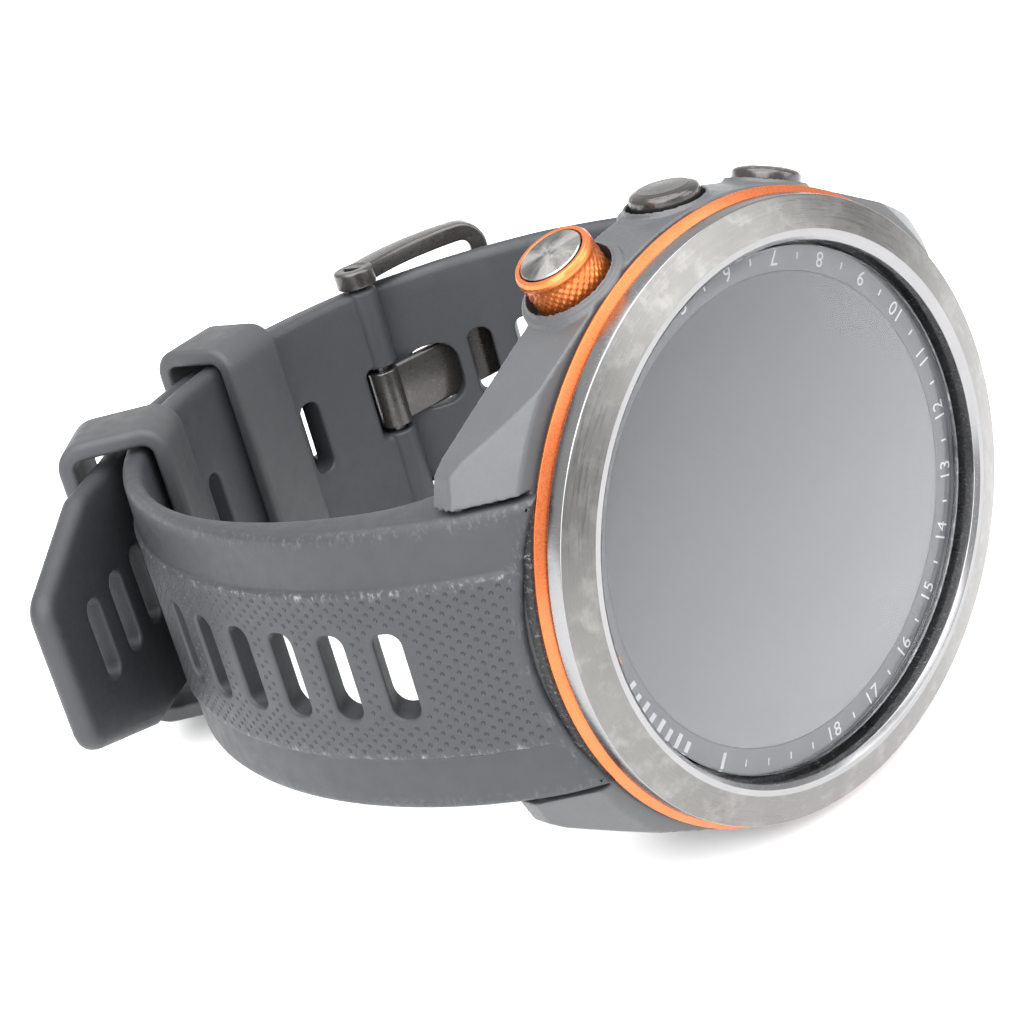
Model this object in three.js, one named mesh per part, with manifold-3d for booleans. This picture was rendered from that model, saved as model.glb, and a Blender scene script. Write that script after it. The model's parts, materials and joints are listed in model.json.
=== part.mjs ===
// Golf GPS watch lying on its side, strap fastened in a loop. Sizes are in millimetres.
//
// The watch is modelled about its dial: +X to 3 o'clock (the buttons), +Y to 12 o'clock, +Z out of
// the face, and Z = 0 on the flat of the case back. The strap loop lies in the YZ plane below the
// case. At the end the watch is laid on its 9 o'clock side, with +Z of the part up.
import * as THREE from 'three';
import { mergeVertices } from 'three/addons/utils/BufferGeometryUtils.js';
import Module from 'manifold-3d';

const wasm = await Module();
wasm.setup();

// ---------------------------------------------------------------- driving dimensions

const CASE_R = 23.6;            // case band
const CASE_TOP = 10.0;          // land that carries the accent ring
const CAVITY_R = 18.9;
const LENS_TOP = 11.71;
const BEZEL_OUT_R = 23.0;
const BEZEL_IN_R = 19.65;
const STRAP_HALF = 11.0;        // 22 mm strap
const LUG_IN_X = 11.3;          // inner faces of the lugs
const LUG_TIP_Y = 25.3;
const PIN_R = 0.75;             // lug pins and buckle pin
const BORE_R = 0.9;
const LUG_PIN_Y = 24.0;
const LUG_PIN_Z = 6.1;
const GAP = 0.3;                // between neighbours

const BUTTON_Z = 6.5;           // height of the button axes
const BUTTON_ANGLES = { start: 65, menu: 90, back: 115 };  // clockwise from 12 o'clock

// The clasp: both strap layers, the keepers and the buckle pin share one centre in the YZ plane.
const CLASP = { y: -4, z: -12 };
const INNER_LAYER = { low: 35.3, high: 37.9 };     // buckle strap, radii about the clasp centre
const OUTER_LAYER = { low: 38.2, high: 40.3 };     // long strap
const PIN_RADIUS = 36.3;        // buckle pin from the clasp centre
const PIN_ANGLE = -98.8;        // all clasp angles are measured from +Y towards +Z
const BAR_RADIUS = 38.9;        // far bar of the buckle
const BAR_ANGLE = -119.3;
const KEEPER_ANGLES = [-42.6, -73.0];
const TAIL_ANGLE = -46.0;       // where the free tail leaves the clasp circle
const NECK_ANGLE = -46.0;       // where the buckle strap leaves it

const SLOT = { across: 6.6, along: 2.2, pitch: 4.92 };
const REST_TILT = 10.85;        // the watch leans back from its case rim onto the strap's edge

const ROUND = 64;               // sides of the turned parts that show
const PLAIN = 36;               // of those inside the case
const FINE = 20;
const SMALL = 12;

// ---------------------------------------------------------------- solids

const rad = THREE.MathUtils.degToRad;

// A closed three.js geometry as a solid with its faces pointing out.
function solid(geometry) {
  const bare = geometry.clone();
  bare.deleteAttribute('normal');
  bare.deleteAttribute('uv');
  const merged = mergeVertices(bare, 1e-4);
  const points = merged.attributes.position.array;
  const corner = (i) => new THREE.Vector3().fromArray(points, 3 * i);
  const triangles = [];
  let volume = 0;
  for (let i = 0; i < merged.index.count; i += 3) {
    const [a, b, c] = [0, 1, 2].map((k) => merged.index.getX(i + k));
    if (a === b || b === c || c === a) continue;
    triangles.push([a, b, c]);
    volume += corner(a).dot(corner(b).cross(corner(c)));
  }
  if (volume < 0) triangles.forEach((t) => t.reverse());
  return new wasm.Manifold(new wasm.Mesh({
    numProp: 3,
    vertProperties: Float32Array.from(points),
    triVerts: Uint32Array.from(triangles.flat()),
  }));
}

// Turned about Z from a closed outline of [radius, z].
function turned(outline, sides = ROUND) {
  const points = [...outline, outline[0]].map(([r, z]) => new THREE.Vector2(r, z));
  return solid(new THREE.LatheGeometry(points, sides).rotateX(Math.PI / 2));
}

const disc = (r, low, high, sides = ROUND) => turned([[0, low], [r, low], [r, high], [0, high]], sides);
const tube = (inner, outer, low, high, sides = ROUND) => (
  turned([[inner, low], [outer, low], [outer, high], [inner, high]], sides));

function outlineShape(points) {
  return new THREE.Shape(points.map(([a, b]) => new THREE.Vector2(a, b)));
}

// An outline in XY, from z = low to z = high.
function plate(points, low, high) {
  const depth = high - low;
  const flat = new THREE.ExtrudeGeometry(outlineShape(points), { depth, bevelEnabled: false });
  return solid(flat.translate(0, 0, low));
}

// An outline in YZ, from x = low to x = high.
const AXES_YZX = new THREE.Matrix4().makeBasis(
  new THREE.Vector3(0, 1, 0), new THREE.Vector3(0, 0, 1), new THREE.Vector3(1, 0, 0));
function slab(points, low, high) {
  const depth = high - low;
  const flat = new THREE.ExtrudeGeometry(outlineShape(points), { depth, bevelEnabled: false });
  return solid(flat.translate(0, 0, low).applyMatrix4(AXES_YZX));
}

// A box from one corner to the other.
function block(x0, x1, y0, y1, z0, z1) {
  const box = new THREE.BoxGeometry(x1 - x0, y1 - y0, z1 - z0);
  return solid(box.translate((x0 + x1) / 2, (y0 + y1) / 2, (z0 + z1) / 2));
}

// A rod along X at a place in the YZ plane.
function rodX(r, x0, x1, y, z, sides = SMALL) {
  return disc(r, x0, x1, sides).transform(columns(AXES_YZX)).translate([0, y, z]);
}

const columns = (matrix) => Array.from(matrix.elements);
const moved = (shape, matrix) => shape.transform(columns(matrix));
const polar = (r, degrees) => [r * Math.cos(rad(degrees)), r * Math.sin(rad(degrees))];

function roundedRectangle(halfA, halfB, corner, steps = 3) {
  const points = [];
  const centres = [[1, 1, 0], [-1, 1, 90], [-1, -1, 180], [1, -1, 270]];
  for (const [a, b, start] of centres) {
    for (let i = 0; i <= steps; i += 1) {
      const [da, db] = polar(corner, start + 90 * i / steps);
      points.push([a * (halfA - corner) + da, b * (halfB - corner) + db]);
    }
  }
  return points;
}

// ---------------------------------------------------------------- the scene graph

const watch = new THREE.Group();

function addPart(name, shape, color, roughness, metalness, matrix = new THREE.Matrix4()) {
  const { vertProperties, triVerts } = shape.getMesh();
  const geometry = new THREE.BufferGeometry();
  geometry.setAttribute('position', new THREE.BufferAttribute(vertProperties, 3));
  geometry.setIndex(new THREE.BufferAttribute(triVerts, 1));
  geometry.computeVertexNormals();
  const mesh = new THREE.Mesh(geometry, new THREE.MeshStandardMaterial({ color, roughness, metalness }));
  mesh.name = name;
  mesh.applyMatrix4(matrix);
  watch.add(mesh);
}

const POLYMER = [0x4a4c50, 0.55, 0.0];
const SILICONE = [0x3f4347, 0.75, 0.0];
const GUNMETAL = [0x55555a, 0.3, 0.9];
const STEEL = [0xa8a8ac, 0.35, 1.0];
const ORANGE = [0xd8641c, 0.4, 0.6];
const BLACK = [0x18191b, 0.5, 0.0];
const BOARD_GREEN = [0x1f5a38, 0.6, 0.0];
const COPPER = [0xb87a4a, 0.4, 0.8];
const RUBBER = [0x202224, 0.9, 0.0];

// ---------------------------------------------------------------- frames

// Axis +Z along a button, out of the case, with X upwards.
function buttonFrame(degrees) {
  const outwards = new THREE.Vector3(Math.sin(rad(degrees)), Math.cos(rad(degrees)), 0);
  const up = new THREE.Vector3(0, 0, 1);
  const along = new THREE.Vector3().crossVectors(outwards, up);
  return new THREE.Matrix4().makeBasis(up, along, outwards).setPosition(0, 0, BUTTON_Z);
}

// On the strap: local X across the watch to 9 o'clock, Y along the heading, and Z to its right,
// which is out of the loop where a path runs anticlockwise.
function strapFrame({ y, z, heading }) {
  const forwards = new THREE.Vector3(0, Math.cos(heading), Math.sin(heading));
  const across = new THREE.Vector3(-1, 0, 0);
  const outwards = new THREE.Vector3().crossVectors(across, forwards);
  return new THREE.Matrix4().makeBasis(across, forwards, outwards).setPosition(0, y, z);
}

function onClasp(radius, degrees) {
  const [y, z] = polar(radius, degrees);
  return { y: CLASP.y + y, z: CLASP.z + z, heading: rad(degrees + 90) };
}

// Follows arcs [turn in degrees (+ left), radius] and straights [0, length] from a start.
// Every point keeps its place, its heading and its distance along the path.
function followArcs(start, arcs, step = 5) {
  const path = [{ ...start, s: 0 }];
  for (const [turn, size] of arcs) {
    const from = path[path.length - 1];
    const count = turn === 0 ? 1 : Math.max(1, Math.ceil(Math.abs(turn) / step));
    const sign = Math.sign(turn);
    for (let i = 1; i <= count; i += 1) {
      const heading = from.heading + rad(turn) * i / count;
      if (turn === 0) {
        path.push({
          y: from.y + size * Math.cos(heading),
          z: from.z + size * Math.sin(heading),
          heading,
          s: from.s + size,
        });
        continue;
      }
      const centreY = from.y - sign * size * Math.sin(from.heading);
      const centreZ = from.z + sign * size * Math.cos(from.heading);
      path.push({
        y: centreY + sign * size * Math.sin(heading),
        z: centreZ - sign * size * Math.cos(heading),
        heading,
        s: from.s + size * Math.abs(rad(turn)) * i / count,
      });
    }
  }
  return path;
}

// The point at a distance s along a path.
function along(path, s) {
  const next = Math.min(Math.max(path.findIndex((p) => p.s >= s), 1), path.length - 1);
  const [a, b] = [path[next - 1], path[next]];
  const t = (s - a.s) / (b.s - a.s);
  const mix = (key) => a[key] + (b[key] - a[key]) * t;
  return { y: mix('y'), z: mix('z'), heading: mix('heading'), s };
}

const pathPoints = (path) => path.map(({ y, z }) => [y, z]);
const backwards = (start) => ({ ...start, heading: start.heading + Math.PI });

// ---------------------------------------------------------------- straps

const slotCutter = plate(roundedRectangle(SLOT.across / 2, SLOT.along / 2, 0.9), -5, 5);

const cutSlots = (strap, path, places) => places.reduce(
  (rest, s) => rest.subtract(moved(slotCutter, strapFrame(along(path, s)))), strap);

// Room for the case: the curved end below the bezel, and the flat end between the lugs.
const caseClearance = disc(CASE_R + GAP, 8.0, 20).add(block(-30, 30, -22.6, 22.6, -6, 8.1));

const LATCH = { along: 4.5, across: 9.0, thick: 1.0, travel: 1.5, fromCase: 7.4 };
const latchPocket = block(
  -LATCH.across / 2 - GAP, LATCH.across / 2 + GAP,
  -LATCH.along / 2 - GAP, LATCH.along / 2 + GAP + LATCH.travel, -1.5, 2);
const latchSlider = block(
  -LATCH.across / 2, LATCH.across / 2, -LATCH.along / 2, LATCH.along / 2, -1.2, -1.2 + LATCH.thick)
  .add(block(-3.2, 3.2, -1.6, -0.9, -0.5, 0.45))
  .add(block(-3.2, 3.2, 0.0, 0.7, -0.5, 0.45));

// On a strap's inner face: X across, +Y away from the case, Z into the loop.
function latchFrame(innerPath) {
  const place = along(innerPath, innerPath[innerPath.length - 1].s - LATCH.fromCase);
  return strapFrame(backwards(place));
}

// The buckle strap: from its eye round the buckle pin, past both keepers, to the case at 12 o'clock.
const buckleOuter = followArcs(onClasp(INNER_LAYER.high, PIN_ANGLE), [
  [NECK_ANGLE - PIN_ANGLE, INNER_LAYER.high], [52.5, 35.3], [33.1, 33.7], [19.6, 16.1]]);
const buckleInner = followArcs(onClasp(INNER_LAYER.low, PIN_ANGLE), [
  [NECK_ANGLE - PIN_ANGLE, INNER_LAYER.low], [6.4, 60.0], [75.1, 26.0], [37.9, 8.0]]);
const bucklePin = onClasp(PIN_RADIUS, PIN_ANGLE);
const EYE_R = 1.6;

const BUCKLE_SLOTS = { count: 6, fromCase: 13.4, pitch: 4.67 };
const buckleOuterEnd = buckleOuter[buckleOuter.length - 1].s;
const frontSlots = Array.from(
  { length: BUCKLE_SLOTS.count },
  (_, i) => buckleOuterEnd - BUCKLE_SLOTS.fromCase - i * BUCKLE_SLOTS.pitch);
const claspSlots = [10.1, 26.6];   // from the buckle pin

function buckleStrap() {
  const side = [...pathPoints(buckleOuter), ...pathPoints(buckleInner).reverse()];
  const eye = rodX(EYE_R, -STRAP_HALF, STRAP_HALF, bucklePin.y, bucklePin.z, FINE);
  const notch = moved(block(-3.3, 3.3, -4, 2.2, -4, 4), strapFrame(bucklePin));
  const pocket = moved(latchPocket, latchFrame(buckleInner));
  const strap = slab(side, -STRAP_HALF, STRAP_HALF).add(eye).subtract(notch)
    .subtract(rodX(BORE_R, -20, 20, bucklePin.y, bucklePin.z))
    .subtract(rodX(BORE_R, -20, 20, LUG_PIN_Y, LUG_PIN_Z))
    .subtract(caseClearance).subtract(pocket);
  return cutSlots(strap, buckleOuter, [...frontSlots, ...claspSlots]);
}

// The long strap: free tail, round the outside of the clasp, over the buckle pin, through the
// buckle, and up to the case at 6 o'clock. Both faces start where it bends round the pin.
const WRAP = { turn: -22, straight: 7 };
const longOuter = followArcs(backwards(onClasp(OUTER_LAYER.high, PIN_ANGLE)), [
  [WRAP.turn, OUTER_LAYER.high - PIN_RADIUS], [0, WRAP.straight],
  [-7.7, 15.1], [-47.8, 40.8], [-60.0, 29.6]]);
const longInner = followArcs(backwards(onClasp(OUTER_LAYER.low, PIN_ANGLE)), [
  [WRAP.turn, OUTER_LAYER.low - PIN_RADIUS], [0, WRAP.straight],
  [-7.7, 13.0], [-47.8, 38.7], [-20.0, 27.5], [-60.0, 13.5]]);

const TAIL = { bend: -6.4, bendRadius: 40, straight: 16.8, taper: 11.5, tipHalf: 6.2 };
const toTail = TAIL_ANGLE - PIN_ANGLE;
const tailOuter = followArcs(onClasp(OUTER_LAYER.high, PIN_ANGLE), [
  [toTail, OUTER_LAYER.high], [TAIL.bend, TAIL.bendRadius - 1.05], [0, TAIL.straight]]);
const tailInner = followArcs(onClasp(OUTER_LAYER.low, PIN_ANGLE), [
  [toTail, OUTER_LAYER.low], [TAIL.bend, TAIL.bendRadius + 1.05], [0, TAIL.straight]]);

// The tongue runs from the pin, through the long strap, to the outside of the far bar.
const TONGUE = { half: 2.8, thick: 0.9, hub: 1.45, length: 15.9, overBar: 1.85 };
const bar = onClasp(BAR_RADIUS, BAR_ANGLE);
const barTop = onClasp(BAR_RADIUS + TONGUE.overBar, BAR_ANGLE);
const tongueFrame = strapFrame({
  ...bucklePin, heading: Math.atan2(barTop.z - bucklePin.z, barTop.y - bucklePin.y) });

const ENGAGED_SLOT = 6.9;       // from the top of the pin to the slot that the tongue uses
const TAIL_SLOTS = { first: -1.6, count: 12 };
const SIDE_SLOTS = 3;           // between the buckle and 6 o'clock
const CLASP_HALF = 10.3;        // half width of the long strap between the buckle and its tail
const tailEnd = tailOuter[tailOuter.length - 1];

function tailPlan() {
  const { taper, tipHalf } = TAIL;
  const right = [[STRAP_HALF, -0.2], [CLASP_HALF, 0], [CLASP_HALF - 0.3, 2.6],
    [tipHalf + 1.7, taper - 2.0]];
  const corner = [[tipHalf + 0.9, taper - 0.6], [tipHalf - 0.6, taper]];
  const side = [...right, ...corner];
  return [...side, ...side.map(([a, b]) => [-a, b]).reverse()];
}

function longStrap() {
  const side = [
    ...pathPoints(longOuter).reverse(), ...pathPoints(tailOuter).slice(1),
    ...pathPoints(tailInner).slice(1).reverse(), ...pathPoints(longInner)];
  const tailStart = strapFrame(along(tailOuter, tailEnd.s - TAIL.taper));
  const keep = block(-30, 30, -200, 0, -120, 120).add(plate(tailPlan(), -6, 6));
  const narrow = plate([[11.2, -28], [CLASP_HALF, -8], [CLASP_HALF, 60], [30, 60], [30, -28]], -100, -25);
  const engaged = moved(block(-3.4, 3.4, 2.0, 10.5, -1.35, 0.95), tongueFrame);
  const strap = slab(side, -STRAP_HALF, STRAP_HALF).intersect(moved(keep, tailStart))
    .subtract(engaged).subtract(narrow).subtract(narrow.mirror([1, 0, 0]))
    .subtract(rodX(BORE_R, -20, 20, -LUG_PIN_Y, LUG_PIN_Z))
    .subtract(caseClearance).subtract(moved(latchPocket, longLatchFrame()));
  const tailSlots = Array.from({ length: TAIL_SLOTS.count }, (_, i) => TAIL_SLOTS.first + i * SLOT.pitch);
  const sideSlots = Array.from({ length: SIDE_SLOTS }, (_, i) => ENGAGED_SLOT + (i + 1) * SLOT.pitch);
  return cutSlots(cutSlots(strap, tailOuter, tailSlots), longOuter, sideSlots);
}

// The long strap's inner path runs clockwise, so its frame is turned to face into the loop.
function longLatchFrame() {
  const place = along(longInner, longInner[longInner.length - 1].s - LATCH.fromCase);
  const flip = new THREE.Matrix4().makeRotationZ(Math.PI);
  return strapFrame(place).multiply(flip);
}

// ---------------------------------------------------------------- case and lugs

// One lug on the 3 o'clock side at 12 o'clock: straight inner face, cut tip corner, and a side
// that runs tangent to the round case.
function lugOutline() {
  const tip = [14.2, 23.5];
  const reach = Math.hypot(...tip);
  const turn = Math.atan2(tip[1], tip[0]) - Math.acos(CASE_R / reach);
  const tangent = [CASE_R * Math.cos(turn), CASE_R * Math.sin(turn)];
  return [[LUG_IN_X, 9], tangent, tip, [13.4, 24.5], [LUG_IN_X, LUG_TIP_Y]];
}

// Front cone over the lugs, case flank, and the cone that runs in to the case back.
const CASE_PROFILE = [[0, 0], [20.2, 0], [CASE_R, 4.6], [29.0, 5.0], [29.05, 5.35], [24.75, CASE_TOP],
  [0, CASE_TOP]];
const BACK = { opening: 14.2, recess: 19.3, ledgeLow: 1.7, ledgeHigh: 3.2, screwR: 17.2 };
const SCREW_ANGLES = [45, 135, 225, 315];
const BOSSES = { start: [3.55, 24.2], menu: [3.15, 23.9], back: [3.15, 23.9] };

function caseBody() {
  let plan = disc(CASE_R, -1, 12);
  for (const [sx, sy] of [[1, 1], [-1, 1], [-1, -1], [1, -1]]) {
    plan = plan.add(plate(lugOutline().map(([x, y]) => [sx * x, sy * y]), -1, 12));
  }
  let body = plan.intersect(turned(CASE_PROFILE));
  for (const [name, degrees] of Object.entries(BUTTON_ANGLES)) {
    const [r, top] = BOSSES[name];
    body = body.add(moved(disc(r, 19.5, top, FINE), buttonFrame(degrees)));
  }
  body = body.subtract(disc(CAVITY_R, BACK.ledgeHigh, 12, PLAIN))
    .subtract(disc(21.05, 8.6, 12))
    .subtract(disc(BACK.opening, -1, 5, PLAIN))
    .subtract(disc(BACK.recess, -1, BACK.ledgeLow))
    .subtract(tube(14.7, 15.7, 1, 2.4, PLAIN));
  for (const side of [1, -1]) {
    const low = Math.min(side * 22.3, side * 30);
    body = body.subtract(block(-LUG_IN_X, LUG_IN_X, low, low + 7.7, -2, 8.3))
      .subtract(rodX(BORE_R, -12.6, 12.6, side * LUG_PIN_Y, LUG_PIN_Z));
  }
  for (const degrees of SCREW_ANGLES) {
    const [x, y] = polar(BACK.screwR, degrees);
    body = body.subtract(disc(BORE_R, 1, 4, SMALL).translate([x, y, 0]));
  }
  for (const [name, degrees] of Object.entries(BUTTON_ANGLES)) {
    body = body.subtract(moved(buttonBore(name), buttonFrame(degrees)));
  }
  return body;
}

// ---------------------------------------------------------------- buttons

const STEM_R = 1.0;
const SEAL = { low: 20.3, high: 21.3, inner: 1.3, outer: 1.75 };
const CAPS = {
  start: { r: 3.1, foot: 23.3, top: 26.1 },
  menu: { r: 2.6, foot: 23.1, top: 24.9 },
  back: { r: 2.6, foot: 23.1, top: 24.9 },
};
const CAP_RECESS = { start: [3.4, 22.5], menu: [2.9, 22.3], back: [2.9, 22.3] };

function buttonBore(name) {
  const [r, floor] = CAP_RECESS[name];
  return disc(1.3, 15, 30, SMALL)
    .add(disc(SEAL.outer + GAP, SEAL.low - GAP, SEAL.high + GAP, FINE))
    .add(disc(r, floor, 30, FINE));
}

const domedCap = ({ r, foot, top }) => turned(
  [[0, foot], [r, foot], [r, top - 0.55], [r - 0.15, top - 0.3], [r - 0.7, top - 0.08], [0, top]], FINE);
const clip = tube(0.7, 2.0, 18.0, 18.4, SMALL).subtract(block(-0.6, 0.6, 0, 3, 17, 19));
const tactSwitch = block(-0.8, 0.8, -1.7, 1.7, 14.6, 16.2)
  .add(block(-0.4, 0.4, -0.7, 0.7, 16.1, 16.5));

function addButton(name) {
  const frame = buttonFrame(BUTTON_ANGLES[name]);
  const cap = CAPS[name];
  if (name === 'start') {
    const insertSeat = disc(2.45 + 0.15, 25.2, 30, FINE);
    const ring = turned([[0, cap.foot], [2.95, cap.foot], [cap.r, cap.foot + 0.2], [cap.r, 25.5],
      [2.85, cap.top], [0, cap.top]], 36);
    const socket = disc(STEM_R + 0.15, 20, 24.4, SMALL);
    addPart('start_knurled_cap', ring.subtract(insertSeat).subtract(socket), ...ORANGE, frame);
    addPart('start_insert', disc(2.45, 25.45, 26.0, FINE), ...BLACK, frame);
    const stem = turned([[0, 17.1], [0.4, 17.1], [0.4, 18.6], [STEM_R, 18.6], [STEM_R, 24.1], [0, 24.1]],
      SMALL);
    addPart('start_stem', stem, ...STEEL, frame);
  } else {
    const stem = turned([[0, 17.1], [0.4, 17.1], [0.4, 18.6], [STEM_R, 18.6], [STEM_R, cap.foot + 0.2],
      [0, cap.foot + 0.2]], SMALL);
    addPart(`${name}_cap`, domedCap(cap).add(stem), ...GUNMETAL, frame);
  }
  addPart(`${name}_clip`, clip, ...STEEL, frame);
  addPart(`${name}_seal`, tube(SEAL.inner, SEAL.outer, SEAL.low, SEAL.high, FINE), ...RUBBER, frame);
  addPart(`${name}_switch`, tactSwitch, ...BLACK, frame);
}

// ---------------------------------------------------------------- head

function addHead() {
  addPart('case_body', caseBody(), ...POLYMER);
  addPart('accent_ring', turned([[21.1, 10.3], [23.5, 10.3], [23.5, 10.47], [22.66, 10.95], [21.1, 10.95]]),
    ...ORANGE);
  addPart('bezel', turned([[20.75, 8.9], [20.75, 11.25], [22.7, 11.25], [BEZEL_OUT_R, 12.4],
    [20.5, 13.18], [19.9, 13.18], [BEZEL_IN_R, 12.9], [BEZEL_IN_R, 9.3], [18.5, 9.3], [18.5, 8.9]]),
  ...GUNMETAL);
  addPart('lens', disc(BEZEL_IN_R - GAP, 10.8, LENS_TOP), 0x9aa0a8, 0.05, 0.0);
  addPart('number_ring', tube(17.4, 19.3, 10.3, 10.5, PLAIN), ...BLACK);
  addPart('lens_gasket', tube(18.5, 19.3, 9.6, 10.0, PLAIN), ...RUBBER);
  addPart('display_panel', disc(17.1, 9.2, 10.45, PLAIN), ...BLACK);
  addPart('display_flex', block(-4, 4, -16, -9, 8.75, 8.9), ...COPPER);
}

// ---------------------------------------------------------------- inside the case

const CONTACTS = { spacing: 1.5, y: -11.85, r: 0.3 };
const contactX = (i) => (i - 1.5) * CONTACTS.spacing;

function addInside() {
  const openRing = tube(17.75, 18.6, 7.6, 8.45, PLAIN).subtract(block(10, 30, -30, 30, 0, 12));
  addPart('gps_antenna_ring', openRing, ...COPPER);
  addPart('inner_frame', tube(12.6, 17.4, 7.6, 8.45, PLAIN), ...BLACK);
  addPart('gps_shield', block(-8, 6, -6, 6, 7.5, 8.4), ...STEEL);
  addPart('main_board', disc(17.6, 6.4, 7.2, PLAIN).subtract(block(12.4, 30, -30, 30, 0, 12)), ...BOARD_GREEN);
  addPart('battery', block(-9.5, 9.5, -9.5, 9.5, 2.1, 6.0), 0xb9bcc2, 0.5, 0.2);
  addPart('vibration_motor', disc(3.3, 3.5, 6.0, FINE).translate([0, -14.6, 0]), ...STEEL);
}

// ---------------------------------------------------------------- case back

const SCREW = { headR: 1.2, shankR: 0.6, seatR: 1.5, seat: 0.9, tip: 3.0 };
const PLATE_TOP = 1.4;

function casePlate() {
  const port = plate(roundedRectangle(3.7, 1.75, 0.6), -2, 3).translate([0, CONTACTS.y, 0]);
  let shape = disc(BACK.recess - GAP, 0, PLATE_TOP).subtract(disc(9.1, -2, 3, PLAIN)).subtract(port);
  for (const degrees of SCREW_ANGLES) {
    const [x, y] = polar(BACK.screwR, degrees);
    const seat = disc(SCREW.seatR, -1, SCREW.seat, SMALL).add(disc(BORE_R, -1, 3, SMALL));
    shape = shape.subtract(seat.translate([x, y, 0]));
  }
  return shape;
}

function addBack() {
  addPart('case_back', casePlate(), ...BLACK);
  addPart('back_gasket', tube(15.0, 15.4, 1.7, 2.1, PLAIN), ...RUBBER);
  const window = turned([[0, -0.7], [6.5, -0.7], [8.8, 0.0], [8.8, 0.9], [0, 0.9]], PLAIN);
  addPart('sensor_window', window, 0x0c0d10, 0.08, 0.0);
  addPart('sensor_board', disc(8.3, 1.2, 1.8, PLAIN), ...BOARD_GREEN);
  let port = plate(roundedRectangle(3.4, 1.45, 0.5), 0.35, PLATE_TOP);
  for (let i = 0; i < 4; i += 1) port = port.subtract(disc(0.55, 0, 3, 12).translate([contactX(i), 0, 0]));
  addPart('charge_port', port.translate([0, CONTACTS.y, 0]), ...BLACK);
  for (let i = 0; i < 4; i += 1) {
    const pin = disc(CONTACTS.r, 0.2, 1.6, 12).translate([contactX(i), CONTACTS.y, 0]);
    addPart(`charge_contact_${i + 1}`, pin, 0xd6b25c, 0.3, 1.0);
  }
  SCREW_ANGLES.forEach((degrees, i) => {
    const [x, y] = polar(BACK.screwR, degrees);
    const head = turned([[0, 0.1], [SCREW.headR, 0.1], [SCREW.headR, 0.6], [SCREW.shankR, 0.6],
      [SCREW.shankR, SCREW.tip], [0, SCREW.tip]], SMALL).subtract(disc(0.55, -1, 0.4, 6));
    addPart(`back_screw_${i + 1}`, head.translate([x, y, 0]), ...STEEL);
  });
}

// ---------------------------------------------------------------- strap, keepers and buckle

const KEEPER = { half: 11.4, wall: 1.45, length: 6.9, low: 34.75, highs: [41.5, 40.7] };

function addKeeper(name, degrees, high) {
  const halfHeight = (high - KEEPER.low) / 2;
  const turn = new THREE.Matrix4().makeRotationX(Math.PI / 2);
  const halfLength = KEEPER.length / 2;
  const outside = roundedRectangle(KEEPER.half + KEEPER.wall, halfHeight + KEEPER.wall, 2.0, 4);
  const opening = plate(roundedRectangle(KEEPER.half, halfHeight, 0.5), -10, 10);
  const band = moved(plate(outside, -halfLength, halfLength).subtract(opening), turn);
  addPart(name, band, ...SILICONE, strapFrame(onClasp(KEEPER.low + halfHeight, degrees)));
}

const ARM = { low: 11.35, high: 12.8, half: 1.15, crown: [40.7, -110] };

// An outline that keeps half a width to each side of a line of points.
function band(points, half) {
  const side = (sign) => points.map(([y, z], i) => {
    const [y0, z0] = points[Math.max(i - 1, 0)];
    const [y1, z1] = points[Math.min(i + 1, points.length - 1)];
    const size = Math.hypot(y1 - y0, z1 - z0);
    return [y - sign * half * (z1 - z0) / size, z + sign * half * (y1 - y0) / size];
  });
  return [...side(1), ...side(-1).reverse()];
}

function buckleFrame() {
  const crown = onClasp(...ARM.crown);
  const arch = new THREE.QuadraticBezierCurve(
    new THREE.Vector2(bucklePin.y, bucklePin.z), new THREE.Vector2(crown.y, crown.z),
    new THREE.Vector2(bar.y, bar.z)).getPoints(6).map(({ x, y }) => [x, y]);
  let frame = rodX(1.0, -ARM.high, ARM.high, bar.y, bar.z);
  for (const [low, high] of [[ARM.low, ARM.high], [-ARM.high, -ARM.low]]) {
    frame = frame.add(slab(band(arch, ARM.half), low, high))
      .add(rodX(EYE_R, low, high, bucklePin.y, bucklePin.z, FINE));
  }
  return frame.subtract(rodX(BORE_R, -20, 20, bucklePin.y, bucklePin.z));
}

function buckleTongue() {
  const { half, thick, hub, length } = TONGUE;
  const blade = moved(block(-half, half, 0, length, -thick / 2, thick / 2), tongueFrame);
  return rodX(hub, -half, half, bucklePin.y, bucklePin.z, FINE).add(blade)
    .subtract(rodX(BORE_R, -20, 20, bucklePin.y, bucklePin.z));
}

function addStrap() {
  addPart('buckle_strap', buckleStrap(), ...SILICONE);
  addPart('long_strap', longStrap(), ...SILICONE);
  addPart('latch_12', latchSlider, ...STEEL, latchFrame(buckleInner));
  addPart('latch_6', latchSlider, ...STEEL, longLatchFrame());
  addPart('lug_pin_12', rodX(PIN_R, -12.3, 12.3, LUG_PIN_Y, LUG_PIN_Z), ...STEEL);
  addPart('lug_pin_6', rodX(PIN_R, -12.3, 12.3, -LUG_PIN_Y, LUG_PIN_Z), ...STEEL);
  addPart('buckle_pin', rodX(PIN_R, -12.75, 12.75, bucklePin.y, bucklePin.z), ...STEEL);
  addPart('buckle_frame', buckleFrame(), ...GUNMETAL);
  addPart('buckle_tongue', buckleTongue(), ...GUNMETAL);
  KEEPER_ANGLES.forEach((degrees, i) => addKeeper(`keeper_${i + 1}`, degrees, KEEPER.highs[i]));
}

// ---------------------------------------------------------------- the whole watch

addHead();
Object.keys(BUTTON_ANGLES).forEach(addButton);
addInside();
addBack();
addStrap();

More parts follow.
